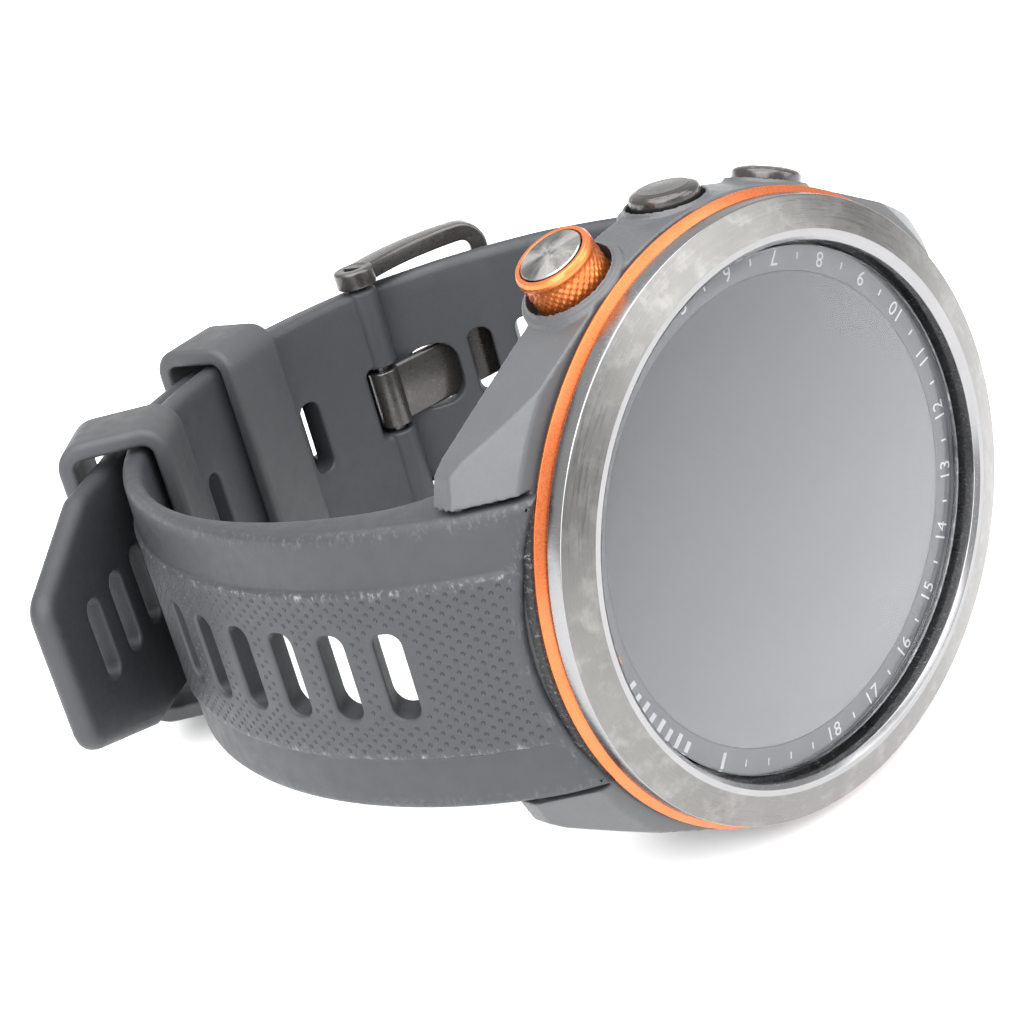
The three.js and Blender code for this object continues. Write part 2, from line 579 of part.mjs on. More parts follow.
// Laid on its 9 o'clock side: the buttons up, 6 o'clock to +X and the face to -Y, leaning back.
const laid = new THREE.Matrix4().makeBasis(
  new THREE.Vector3(0, 0, 1), new THREE.Vector3(-1, 0, 0), new THREE.Vector3(0, -1, 0));
watch.applyMatrix4(laid);
const leaning = new THREE.Group();
leaning.rotation.x = -rad(REST_TILT);
leaning.add(watch);

const object = new THREE.Group();
object.add(leaning);
object.updateMatrixWorld(true);
const box = new THREE.Box3().setFromObject(object, true);
leaning.position.set(-(box.min.x + box.max.x) / 2, -(box.min.y + box.max.y) / 2, -box.min.z);

export default object;
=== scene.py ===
"""Looks for the golf watch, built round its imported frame.

Shapes are made in the watch's own millimetres, as in the CAD source: +X to 3 o'clock, +Y to 12 o'clock,
+Z out of the face, Z = 0 on the flat of the case back. WATCH takes them into the row frame, in metres.
"""

from bisect import bisect_right
import json
import math

import bmesh
import bpy
from mathutils import Matrix, Vector
from mathutils.geometry import delaunay_2d_cdt


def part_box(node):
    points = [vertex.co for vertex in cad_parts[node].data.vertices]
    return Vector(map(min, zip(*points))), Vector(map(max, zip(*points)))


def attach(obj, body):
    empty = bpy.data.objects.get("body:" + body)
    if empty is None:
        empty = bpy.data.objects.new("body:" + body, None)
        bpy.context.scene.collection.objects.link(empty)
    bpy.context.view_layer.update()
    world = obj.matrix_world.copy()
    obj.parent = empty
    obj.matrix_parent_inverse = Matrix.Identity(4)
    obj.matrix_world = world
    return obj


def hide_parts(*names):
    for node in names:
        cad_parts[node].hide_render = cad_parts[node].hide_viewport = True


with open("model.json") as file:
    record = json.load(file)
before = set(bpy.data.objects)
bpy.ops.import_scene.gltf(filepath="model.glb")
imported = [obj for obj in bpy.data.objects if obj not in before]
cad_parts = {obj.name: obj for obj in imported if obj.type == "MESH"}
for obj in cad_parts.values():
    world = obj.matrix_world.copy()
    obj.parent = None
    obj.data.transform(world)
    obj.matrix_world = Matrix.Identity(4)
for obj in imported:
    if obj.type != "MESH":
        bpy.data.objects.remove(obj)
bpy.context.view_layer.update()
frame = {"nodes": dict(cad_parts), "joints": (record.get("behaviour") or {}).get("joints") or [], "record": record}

# ---------------- the watch's own frame

MM = 0.001
LENS_TOP = 11.71
mounts = {m["name"]: m for m in frame["record"]["mounts"]}
joints = {j["name"]: j for j in frame["joints"]}
OUT = Vector(mounts["glass_face"]["axis"]).normalized()
THREE = -Vector(joints["menu_press"]["axis"]).normalized()
TWELVE = OUT.cross(THREE)
TURN = Matrix((THREE, TWELVE, OUT)).transposed()
ORIGIN = Vector(mounts["glass_face"]["pos_m"]) - OUT * LENS_TOP * MM
WATCH = Matrix.Translation(ORIGIN) @ TURN.to_4x4() @ Matrix.Scale(MM, 4)

# ---------------- sizes, as in the CAD source

CASE_R = 23.6
BEZEL_OUT_R = 23.0
BEZEL_IN_R = 19.65
STRAP_HALF = 11.0
CLASP_HALF = 10.3
LUG_IN_X = 11.3               # inner faces of the lugs
BUTTON_SIDES = 96
GAP = 0.3
BUTTONS = {"start": (65, 6.3), "menu": (90, 6.5), "back": (115, 6.5)}   # clockwise from 12, and height
CLASP = (-4.0, -12.0)
INNER_LAYER = (35.3, 37.9)
OUTER_LAYER = (38.2, 40.3)
PIN_RADIUS = 36.3
PIN_ANGLE = -98.8
BAR_RADIUS = 38.9
BAR_ANGLE = -119.3
KEEPER_ANGLES = (-42.6, -73.0)
KEEPER_HIGHS = (41.35, 40.6)
NECK_ANGLE = -46.0
SLOT_PITCH = 4.92

# ---------------- places and plane geometry

UP = Vector((0, 0, 1))


def polar(radius, degrees):
    return radius * math.cos(math.radians(degrees)), radius * math.sin(math.radians(degrees))


def axes_at(place, x, y, z):
    """The matrix that puts a shape's own axes along x, y and z from a place."""
    return Matrix.Translation(place) @ Matrix((x, y, z)).transposed().to_4x4()


def clock_way(degrees):
    """The way out from the middle of the dial, at an angle clockwise from 12."""
    a = math.radians(degrees)
    return Vector((math.sin(a), math.cos(a), 0))


def button_frame(name):
    """Axes on the dial's axis at a button's height, with Z out along the button and X up."""
    degrees, height = BUTTONS[name]
    away = clock_way(degrees)
    return axes_at((0, 0, height), UP, away.cross(UP), away)


def on_clasp(radius, degrees):
    y, z = polar(radius, degrees)
    return Vector((0, CLASP[0] + y, CLASP[1] + z))


def filleted(corners, steps=5):
    """A closed outline from corners (a, b, radius), each rounded to its own radius."""
    points = []
    for i, (a, b, radius) in enumerate(corners):
        here = Vector((a, b))
        if radius == 0:
            points.append(here)
            continue
        before = (Vector(corners[i - 1][:2]) - here).normalized()
        after = (Vector(corners[(i + 1) % len(corners)][:2]) - here).normalized()
        half = before.angle(after) / 2
        centre = here + (before + after).normalized() * radius / math.sin(half)
        first = here + before * radius / math.tan(half) - centre
        last = here + after * radius / math.tan(half) - centre
        swing = math.atan2(first.x * last.y - first.y * last.x, first.dot(last))
        points += [centre + Matrix.Rotation(swing * k / steps, 2) @ first for k in range(steps + 1)]
    return points


def inset(points, distance):
    """An anticlockwise outline moved inwards."""
    moved = []
    for i, here in enumerate(points):
        along = (here - points[i - 1]).normalized()
        onward = (points[(i + 1) % len(points)] - here).normalized()
        n1, n2 = Vector((-along.y, along.x)), Vector((-onward.y, onward.x))
        moved.append(here + (n1 + n2) * distance / max(1 + n1.dot(n2), 0.3))
    return moved


def divided(points, longest=0.8):
    """An outline with its long edges cut into short ones."""
    dense = []
    for a, b in zip(points, points[1:] + points[:1]):
        parts = max(1, math.ceil((b - a).length / longest))
        dense += [a.lerp(b, k / parts) for k in range(parts)]
    return dense


def inside(point, outline):
    """Whether a point lies in an outline."""
    crossings = [a.x + (b.x - a.x) * (point.y - a.y) / (b.y - a.y)
                 for a, b in zip(outline, outline[1:] + outline[:1]) if (a.y > point.y) != (b.y > point.y)]
    return sum(point.x < x for x in crossings) % 2 == 1


# ---------------- meshes


def linked(name, data):
    made = bpy.data.objects.new(name, data)
    bpy.context.scene.collection.objects.link(made)
    return made


def make(name, verts, faces, matrix=None, sharp=40, wear=None):
    """A smooth-shaded object from vertices in watch millimetres, with its normals facing out."""
    mesh = bpy.data.meshes.new(name)
    mesh.from_pydata([tuple(v) for v in verts], [], faces)
    if wear is not None:
        mesh.attributes.new("wear", "FLOAT", "POINT").data.foreach_set("value", wear)
    mesh.transform(WATCH @ (matrix or Matrix.Identity(4)))
    shaped = bmesh.new()
    shaped.from_mesh(mesh)
    bmesh.ops.recalc_face_normals(shaped, faces=shaped.faces)
    shaped.to_mesh(mesh)
    shaped.free()
    mesh.shade_smooth()
    mesh.set_sharp_from_angle(angle=math.radians(sharp))
    return linked(name, mesh)


def belts(rings, closed=True):
    """The faces between each ring of vertices and the next, and from the last to the first if closed."""
    faces = []
    for here, onward in zip(rings, rings[1:] + rings[:1] if closed else rings[1:]):
        for k in range(len(here)):
            n = (k + 1) % len(here)
            faces.append([here[k], here[n], onward[n], onward[k]])
    return faces


def lathe_mesh(outline, sides=192):
    """Vertices and faces of a closed outline (radius, z) turned about Z. Points on the axis are shared."""
    verts, rings = [], []
    turns = [2 * math.pi * k / sides for k in range(sides)]
    for radius, z in outline:
        if radius < 1e-6:
            rings.append([len(verts)] * sides)
            verts.append((0, 0, z))
            continue
        rings.append(list(range(len(verts), len(verts) + sides)))
        verts += [(radius * math.cos(a), radius * math.sin(a), z) for a in turns]
    faces = [list(dict.fromkeys(face)) for face in belts(rings)]
    return verts, [face for face in faces if len(face) > 2]


def lathe(name, outline, matrix=None, sides=192, sharp=35):
    return make(name, *lathe_mesh(outline, sides), matrix=matrix, sharp=sharp)


def sweep_mesh(frames, section, closed=False):
    """A section (a, b) carried along frames (centre, axis a, axis b), capped where it isn't closed."""
    count = len(section)
    verts = [centre + axis_a * a + axis_b * b for centre, axis_a, axis_b in frames for a, b in section]
    rings = [list(range(i * count, (i + 1) * count)) for i in range(len(frames))]
    faces = belts(rings, closed)
    return verts, faces if closed else faces + [rings[0][::-1], rings[-1]]


def prism_mesh(outline, low, high):
    """An outline in XY pushed from low to high."""
    across, up = Vector((1, 0, 0)), Vector((0, 1, 0))
    return sweep_mesh([(Vector((0, 0, z)), across, up) for z in (low, high)], outline)


def block_mesh(half_x, low_y, high_y, low_z, high_z):
    outline = [(-half_x, low_y), (half_x, low_y), (half_x, high_y), (-half_x, high_y)]
    return prism_mesh(outline, low_z, high_z)


def joined(*meshes):
    """Several (vertices, faces) as one."""
    verts, faces = [], []
    for more, their in meshes:
        base = len(verts)
        verts += [tuple(v) for v in more]
        faces += [[base + k for k in face] for face in their]
    return verts, faces


def moved(mesh, matrix):
    verts, faces = mesh
    return [matrix @ Vector(v) for v in verts], faces


def combine(piece, other, operation):
    """A boolean of two objects, applied to the first; the second is used up."""
    change = piece.modifiers.new("combine", "BOOLEAN")
    change.operation, change.object, change.solver = operation, other, "MANIFOLD"
    apply_modifiers(piece)
    bpy.data.objects.remove(other)


def evaluated_mesh(piece):
    bpy.context.view_layer.update()
    return bpy.data.meshes.new_from_object(piece.evaluated_get(bpy.context.evaluated_depsgraph_get()))


def apply_modifiers(piece):
    mesh = evaluated_mesh(piece)
    piece.modifiers.clear()
    piece.data = mesh


def soften(piece, voxel, passes, keep, sharp=80):
    """Rounds every edge and crease of a solid, as a moulded part has them."""
    remesh = piece.modifiers.new("remesh", "REMESH")
    remesh.mode, remesh.voxel_size = "VOXEL", voxel * MM
    smooth = piece.modifiers.new("smooth", "SMOOTH")
    smooth.iterations, smooth.factor = passes, 0.5
    fewer = piece.modifiers.new("fewer", "DECIMATE")
    fewer.ratio = keep
    apply_modifiers(piece)
    piece.data.shade_smooth()
    piece.data.set_sharp_from_angle(angle=math.radians(sharp))


def finished(piece, slot, surface, *nodes, body="watch"):
    """Gives a piece its material and body, and hides the CAD nodes that it stands for. The slot is not used."""
    piece.data.materials.clear()
    piece.data.materials.append(surface)
    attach(piece, body)
    if nodes:
        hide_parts(*nodes)


# ---------------- materials


class Surface:
    """A procedural material on the Principled shader. Uniform numbers go straight on its sockets."""

    def __init__(self, name, **uniform):
        self.material = bpy.data.materials.new(name)
        self.material.use_nodes = True
        self.nodes = self.material.node_tree.nodes
        self.links = self.material.node_tree.links
        self.shader = self.nodes["Principled BSDF"]
        for socket, value in uniform.items():
            self.shader.inputs[socket.replace("_", " ")].default_value = value
        self._place = None

    def node(self, kind, settings=None, **inputs):
        made = self.nodes.new("ShaderNode" + kind)
        for key, value in (settings or {}).items():
            setattr(made, key, value)
        for key, value in inputs.items():
            socket = made.inputs[int(key[1:])] if key[0] == "i" and key[1:].isdigit() else made.inputs[key]
            if isinstance(value, bpy.types.NodeSocket):
                self.links.new(value, socket)
            else:
                socket.default_value = value
        return made

    def math(self, operation, a, b):
        return self.node("Math", {"operation": operation}, i0=a, i1=b).outputs[0]

    def vector(self, operation, a, b=(0, 0, 0), output="Vector"):
        return self.node("VectorMath", {"operation": operation}, i0=a, i1=b).outputs[output]

    def place(self):
        """Position in the watch's own millimetres."""
        if self._place is None:
            back = TURN.transposed()
            coordinates = self.node("TexCoord").outputs["Object"]
            mapped = self.node("Mapping", Vector=coordinates, Scale=(1 / MM,) * 3,
                               Rotation=back.to_euler(), Location=back @ ORIGIN * (-1 / MM))
            self._place = mapped.outputs[0]
        return self._place

    def stretched(self, x, y, z):
        return self.vector("MULTIPLY", self.place(), (x, y, z))

    def noise(self, scale, detail=3.0, roughness=0.55, vector=None):
        made = self.node("TexNoise", Vector=vector or self.place(), Scale=scale, Detail=detail,
                         Roughness=roughness)
        return made.outputs["Fac"]

    def ramp(self, factor, *stops):
        made = self.node("ValToRGB", Fac=factor)
        ramp = made.color_ramp
        while len(ramp.elements) < len(stops):
            ramp.elements.new(0.5)
        for element, (position, colour) in zip(ramp.elements, stops):
            element.position = position
            shade = colour if isinstance(colour, tuple) else (colour,) * 3
            element.color = (*shade, 1)
        return made.outputs["Color"]

    def mix(self, factor, a, b):
        made = self.node("Mix", {"data_type": "RGBA"})
        for index, value in ((0, factor), (6, a), (7, b)):
            if isinstance(value, bpy.types.NodeSocket):
                self.links.new(value, made.inputs[index])
            else:
                made.inputs[index].default_value = (*value, 1)
        return made.outputs[2]

    def colour(self, factor, a, b):
        self.links.new(self.mix(factor, a, b), self.shader.inputs["Base Color"])

    def roughness(self, factor, low, high, stops=(0.3, 0.7)):
        varied = self.ramp(factor, (stops[0], low), (stops[1], high))
        self.links.new(varied, self.shader.inputs["Roughness"])

    def bump(self, height, distance):
        """Bump of a height that runs from 0 to 1, over a distance in millimetres."""
        made = self.node("Bump", Height=height, Distance=distance * MM)
        self.links.new(made.outputs[0], self.shader.inputs["Normal"])
        return self.material


def rgb(red, green, blue):
    """A colour given as it looks, from 0 to 255."""
    def linear(c):
        c /= 255
        return c / 12.92 if c <= 0.04045 else ((c + 0.055) / 1.055) ** 2.4
    return linear(red), linear(green), linear(blue)


def shaded(colour, factor):
    """A colour made lighter or darker."""
    return tuple(min(1, c * factor) for c in colour)


def moulded(name, colour, roughness, grain=0.012, wear=rgb(150, 152, 155)):
    """Satin moulded polymer: fine spark-eroded grain, faint mottling and rubbed lighter spots."""
    s = Surface(name, IOR=1.49)
    base = s.mix(s.noise(0.35, 3), colour, shaded(colour, 1.25))
    s.colour(s.ramp(s.noise(1.6, 6, 0.7, s.stretched(1, 0.5, 1)), (0.66, 0.0), (0.78, 0.5)), base, wear)
    s.roughness(s.noise(3.0, 2), roughness - 0.06, roughness + 0.06)
    return s.bump(s.noise(9.0, 2, 0.6), grain)


def silicone(name, colour, roughness=0.5, dusty=True):
    """Satin elastomer with fine tooth, pale dust in its worn edges and small light scuffs."""
    s = Surface(name, IOR=1.43)
    base = s.mix(s.noise(0.25, 4), colour, shaded(colour, 1.18))
    dust = rgb(132, 133, 134)
    specks = s.ramp(s.noise(2.6, 5, 0.72, s.stretched(0.6, 1.3, 1.3)), (0.68, 0.0), (0.74, 0.6))
    if dusty:
        worn = s.node("Attribute", {"attribute_name": "wear"}).outputs["Fac"]
        crumbs = s.ramp(s.noise(3.0, 6, 0.78, s.stretched(0.35, 0.8, 0.8)), (0.52, 0.0), (0.66, 1.0))
        base = s.mix(s.math("MULTIPLY", s.math("MULTIPLY", worn, crumbs), 0.75), base, dust)
    s.colour(s.math("MULTIPLY", specks, 0.2), base, dust)
    s.roughness(s.noise(0.8, 3), roughness - 0.05, roughness + 0.08)
    return s.bump(s.noise(7.0, 3, 0.6), 0.02)


def brushed(name, colour, roughness, stains=0.5):
    """Steel brushed round the dial, with stains, nicks and faint scratches."""
    s = Surface(name, Metallic=1.0)
    radius = s.vector("LENGTH", s.stretched(1, 1, 0), output="Value")
    apart = s.node("SeparateXYZ", Vector=s.place()).outputs
    around = s.node("CombineXYZ", X=s.math("MULTIPLY", apart[0], 0.3), Y=s.math("MULTIPLY", apart[1], 0.3),
                    Z=s.math("MULTIPLY", s.math("ADD", radius, apart[2]), 14.0)).outputs[0]
    lines = s.noise(1.0, 5, 0.65, around)
    base = s.mix(s.ramp(s.noise(0.22, 5, 0.6), (0.35, 0.0), (0.68, stains)), colour, shaded(colour, 0.72))
    base = s.mix(s.ramp(s.noise(0.5, 6, 0.65), (0.50, 0.0), (0.66, 0.6)), base, shaded(colour, 1.5))
    base = s.mix(s.ramp(lines, (0.35, 0.0), (0.7, 0.28)), base, shaded(colour, 1.25))
    s.colour(s.ramp(s.noise(1.3, 8, 0.8), (0.70, 0.0), (0.74, 0.8)), base, shaded(colour, 0.45))
    s.roughness(lines, roughness - 0.07, roughness + 0.09)
    return s.bump(lines, 0.006)


def polished(name, colour, roughness):
    """Bright turned metal with light smears and hairline scratches."""
    s = Surface(name, Metallic=1.0)
    s.colour(s.noise(0.3, 4), colour, shaded(colour, 0.8))
    hair = s.noise(2.0, 6, 0.7, s.stretched(6, 0.6, 2))
    s.roughness(hair, roughness - 0.04, roughness + 0.1, stops=(0.35, 0.7))
    return s.bump(hair, 0.002)


def anodised(name, colour, roughness=0.28):
    """Orange anodised aluminium, a little paler in soft random patches."""
    s = Surface(name, Metallic=0.85, Coat_Weight=0.25, Coat_Roughness=0.2)
    s.colour(s.noise(0.5, 4), colour, tuple(min(1, c * 1.15 + 0.03) for c in colour))
    grain = s.noise(6.0, 3, 0.6)
    s.roughness(grain, roughness - 0.05, roughness + 0.08)
    return s.bump(grain, 0.003)


def coated(name, colour, roughness, metallic=0.75):
    """Dark vapour-coated steel with fine rubs."""
    s = Surface(name, Metallic=metallic, Coat_Weight=0.2, Coat_Roughness=0.15)
    s.colour(s.ramp(s.noise(1.1, 6, 0.7), (0.55, 0.0), (0.75, 0.5)), colour, shaded(colour, 1.9))
    s.roughness(s.noise(2.5, 4), roughness - 0.06, roughness + 0.1)
    return s.bump(s.noise(8.0, 2), 0.004)


def plain_metal(name, colour, roughness=0.3):
    s = Surface(name, Metallic=1.0)
    lines = s.noise(4.0, 4, 0.6, s.stretched(1, 1, 6))
    s.colour(lines, colour, shaded(colour, 0.82))
    s.roughness(lines, roughness - 0.05, roughness + 0.08)
    return s.bump(lines, 0.003)


def board(name):
    """Solder mask with faint copper tracks under it."""
    s = Surface(name, Coat_Weight=0.4, Coat_Roughness=0.2)
    tracks = s.node("TexVoronoi", {"feature": "DISTANCE_TO_EDGE"}, Vector=s.place(), Scale=0.7)
    lines = s.ramp(tracks.outputs["Distance"], (0.04, 1.0), (0.09, 0.0))
    s.colour(lines, rgb(24, 92, 56), rgb(70, 140, 86))
    s.roughness(s.noise(2.0), 0.35, 0.5)
    return s.bump(lines, 0.02)


def face_glass(name):
    """Clear hard glass with a few hair scratches."""
    s = Surface(name, Transmission_Weight=1.0, IOR=1.4, Base_Color=(0.97, 0.98, 1.0, 1))
    hair = s.ramp(s.noise(3.0, 7, 0.75, s.stretched(2.2, 0.5, 1)), (0.79, 0.0), (0.83, 1.0))
    s.roughness(hair, 0.0, 0.2, stops=(0.0, 1.0))
    return s.material


def display(name):
    """A transflective panel: a soft metallic grey, a little uneven, with a painted reflection that lightens along
    one fixed way across the dial.
    """
    s = Surface(name, Metallic=1.0)
    # Painted reflection: the grey runs from dark to light along one fixed way across the dial, in place of the
    # glass's reflection of the floor.
    across = s.vector("DOT_PRODUCT", s.place(), (-0.86, -0.5, 0), "Value")
    shade = s.node("MapRange", i0=across, i1=-17.0, i2=15.0).outputs[0]
    base = s.mix(shade, rgb(30, 31, 33), rgb(92, 93, 95))
    s.colour(s.math("MULTIPLY", s.noise(0.12, 2), 0.12), base, rgb(60, 61, 66))
    s.roughness(s.noise(0.2), 0.2, 0.24)
    return s.material


def ink(name, colour):
    s = Surface(name, Emission_Strength=0.0)
    s.colour(s.noise(4.0, 2), colour, shaded(colour, 0.85))
    s.roughness(s.noise(5.0), 0.45, 0.6)
    return s.material


def sunray(name, centre):
    """Dark metal brushed outwards from its centre, on the start button's end, with a painted highlight: pale
    streaks in some directions from the centre.
    """
    s = Surface(name, Metallic=1.0)
    spoke = s.vector("NORMALIZE", s.vector("SUBTRACT", s.place(), tuple(centre)))
    lines = s.noise(5.0, 5, 0.7, spoke)
    base = s.mix(lines, rgb(70, 69, 68), rgb(140, 138, 136))
    # Painted highlight: pale sectors round the centre, in place of the streak of light a brushed end catches.
    s.colour(s.ramp(s.noise(1.1, 2, 0.5, spoke), (0.38, 0.0), (0.62, 1.0)), base, rgb(188, 186, 183))
    s.roughness(lines, 0.2, 0.36)
    return s.bump(lines, 0.005)


def sensor_glass(name):
    """Near-black glass, polished."""
    s = Surface(name, IOR=1.5, Coat_Weight=1.0, Coat_Roughness=0.03)
    s.colour(s.noise(0.4), rgb(12, 12, 15), rgb(22, 20, 24))
    s.roughness(s.noise(2.0), 0.08, 0.16)
    return s.material


def grime(name):
    """Pale crumbs of dirt over black; the black is painted shade, standing in for the dark gap under the orange
    ring.
    """
    s = Surface(name, IOR=1.4)
    crumbs = s.ramp(s.noise(3.2, 7, 0.8, s.stretched(1, 1, 0.6)), (0.54, 0.0), (0.66, 1.0))
    s.colour(crumbs, rgb(22, 22, 23), rgb(150, 149, 146))
    s.roughness(crumbs, 0.55, 0.85, stops=(0.0, 1.0))
    return s.bump(crumbs, 0.12)


def paper(name):
    """Pale matt backdrop paper."""
    s = Surface(name, Specular_IOR_Level=0.2)
    s.colour(s.noise(0.02, 2), (0.93, 0.93, 0.93), (0.95, 0.95, 0.95))
    s.roughness(s.noise(0.05), 0.55, 0.65)
    return s.material


DISC_CENTRE = button_frame("start") @ Vector((0, 0, 26.2))
CASE = moulded("case_polymer", rgb(63, 64, 66), 0.42, wear=rgb(104, 105, 107))
BACK = moulded("back_polymer", rgb(34, 35, 37), 0.45, wear=rgb(60, 60, 62))
STRAP = silicone("strap_silicone", rgb(42, 44, 47))
KEEPER = silicone("keeper_silicone", rgb(52, 53, 55), dusty=False)
BEZEL = brushed("bezel_steel", rgb(108, 107, 105), 0.30)
BRIGHT = polished("bezel_bright", rgb(140, 140, 141), 0.2)
ORANGE = anodised("ring_orange", rgb(181, 92, 42))
CROWN = anodised("crown_orange", rgb(198, 106, 45), 0.3)
CAP = coated("cap_gunmetal", rgb(68, 66, 65), 0.2)
INSERT_PAINTED_HIGHLIGHT = sunray("insert_black", DISC_CENTRE)
GLASS = face_glass("lens_glass")
PANEL_PAINTED_REFLECTION = display("dial_panel_painted_reflection")
DIAL = moulded("dial_black", rgb(50, 51, 54), 0.5, grain=0.003, wear=rgb(56, 57, 60))
WHITE = ink("dial_ink_white", rgb(168, 169, 171))
MARK = ink("dial_ink_orange", rgb(190, 84, 36))
SENSOR = sensor_glass("sensor_glass")
BUCKLE = coated("buckle_gunmetal", rgb(74, 72, 70), 0.3)
PIN = plain_metal("pin_steel", rgb(112, 112, 114))
STEEL = plain_metal("small_steel", rgb(124, 124, 126))
GOLD = plain_metal("contact_gold", rgb(160, 128, 70), 0.25)
SEAL = silicone("seal_rubber", rgb(30, 31, 33), 0.6, dusty=False)
SWITCH = moulded("switch_black", rgb(30, 30, 32), 0.5, grain=0.006, wear=rgb(44, 44, 46))
COPPER = plain_metal("antenna_copper", rgb(150, 96, 62), 0.35)
BOARD = board("board_green")
BATTERY = coated("battery_grey", rgb(110, 112, 116), 0.4, metallic=0.3)
PAINTED_SHADE_AND_DIRT = grime("rim_painted_shade_and_dirt")

# ---------------- head: bezel, ring, glass, dial


def build_head():
    bezel = filleted([
        (20.75, 8.9, 0), (20.75, 11.25, 0), (23.02, 11.15, 0.08), (BEZEL_OUT_R - 0.1, 12.4, 0.15),
        (20.5, 13.18, 0.08), (20.05, 13.18, 0.1), (19.68, 12.86, 0.12), (BEZEL_IN_R, 12.6, 0.1),
        (BEZEL_IN_R, 9.3, 0), (18.5, 9.3, 0), (18.5, 8.9, 0)])
    ring = lathe("bezel_ring", bezel, sides=256)
    finished(ring, "bezel_steel", BEZEL, "bezel")
    ring.data.materials.append(BRIGHT)
    for face in ring.data.polygons:
        spot = WATCH.inverted() @ face.center
        brushed_face = 20.46 <= math.hypot(spot.x, spot.y) <= 22.86 and spot.z >= 12.3
        face.material_index = 0 if brushed_face else 1

    accent = filleted([
        (21.1, 10.3, 0), (23.5, 10.3, 0.04), (23.5, 10.47, 0.05), (22.66, 10.95, 0.12), (21.1, 10.95, 0)])
    finished(lathe("accent_band", accent, sides=256), "ring_orange", ORANGE, "accent_ring")

    # A black band under the orange ring at 12 and 6 o'clock: its black is painted shade in that gap, its pale
    # crumbs are dirt.
    rim = [(23.4, 9.5), (23.74, 9.5), (23.78, 10.05), (23.7, 10.3), (23.4, 10.34)]
    arcs = []
    for middle in (90, 270):
        turns = [middle - 27 + 54 * k / 56 for k in range(57)]
        arcs.append(sweep_mesh([(Vector(), Vector((*polar(1, turn), 0)), UP) for turn in turns], rim))
    finished(make("rim_band_painted_shade_and_dirt", *joined(*arcs)), "case_polymer", PAINTED_SHADE_AND_DIRT)

    pane = filleted([(0, 10.8, 0), (19.35, 10.8, 0.1), (19.35, LENS_TOP, 0.18), (0, LENS_TOP, 0)])
    finished(lathe("lens_pane", pane, sides=192), "lens_glass", GLASS, "lens")

    flat = filleted([(17.4, 10.3, 0), (19.5, 10.3, 0), (19.5, 10.5, 0.05), (17.4, 10.5, 0.03)])
    finished(lathe("number_band", flat), "dial_black", DIAL, "number_ring")

    panel = filleted([(0, 9.2, 0), (17.36, 9.2, 0), (17.36, 10.49, 0.04), (0, 10.49, 0)])
    finished(lathe("display_face", panel), "dial_black", PANEL_PAINTED_REFLECTION, "display_panel")


MARKS_R = 18.45
INK_TOP = 10.53
STEP = 15                     # degrees between hole numbers


def on_dial(mesh, degrees, upright=False):
    """A mark put on the ring, with its top to the centre, or away from it if upright."""
    away = clock_way(degrees)
    up = away if upright else -away
    place = away * MARKS_R
    return moved(mesh, axes_at((place.x, place.y, INK_TOP), up.cross(UP), up, UP))


def number_mesh(text, height):
    """The outline of a number as flat faces about its centre."""
    curve = bpy.data.curves.new("number", "FONT")
    curve.body, curve.size = text, height / 0.72
    curve.align_x, curve.align_y = "CENTER", "CENTER"
    curve.resolution_u = 4
    curve.space_character = 1.08
    letter = linked("number", curve)
    mesh = evaluated_mesh(letter)
    made = [v.co.copy() for v in mesh.vertices], [list(p.vertices) for p in mesh.polygons]
    bpy.data.objects.remove(letter)
    return made


def bar_mesh(width, height):
    return block_mesh(width / 2, -height / 2, height / 2, -0.01, 0.0)


def build_dial_marks():
    numbers, ticks = [], []
    for hole in range(1, 19):
        numbers.append(on_dial(number_mesh(str(hole), 1.15), hole * STEP, upright=hole <= 5))
        ticks.append(on_dial(bar_mesh(0.14, 0.5), (hole + 0.5) * STEP))
    ticks += [on_dial(bar_mesh(0.12, 0.55), step * STEP) for step in (19, 19.5, 20, 20.5)]
    ticks.append(on_dial(bar_mesh(0.3, 1.2), 20.5 * STEP))
    ticks += [on_dial(bar_mesh(0.42, 1.15 if step % 2 else 0.8), 320 + step * 3.4) for step in range(8)]
    finished(make("dial_numbers", *joined(*numbers), sharp=30), "dial_black", WHITE)
    finished(make("dial_ticks", *joined(*ticks), sharp=30), "dial_black", WHITE)
    orange = [on_dial(bar_mesh(0.55, 0.7), angle) for angle in (351, 354.5)]
    finished(make("dial_orange_marks", *joined(*orange)), "dial_black", MARK)


# ---------------- case and buttons

# Of each button's round boss: its radius and its reach, then the radius and the floor of its recess.
BOSSES = {"start": (3.55, 24.2, 3.4, 22.5),
          "menu": (3.15, 23.9, 2.9, 22.3),
          "back": (3.15, 23.9, 2.9, 22.3)}


def lug_outline(side_x, side_y):
    tip = Vector((14.2, 23.5))
    angle = math.atan2(tip.y, tip.x) - math.acos(CASE_R / tip.length)
    tangent = (CASE_R * math.cos(angle), CASE_R * math.sin(angle))
    corners = [(LUG_IN_X, 12), tangent, tip[:], (13.4, 24.5), (LUG_IN_X, 25.3)]
    points = [(x * side_x, y * side_y) for x, y in corners]
    return points if side_x * side_y > 0 else points[::-1]


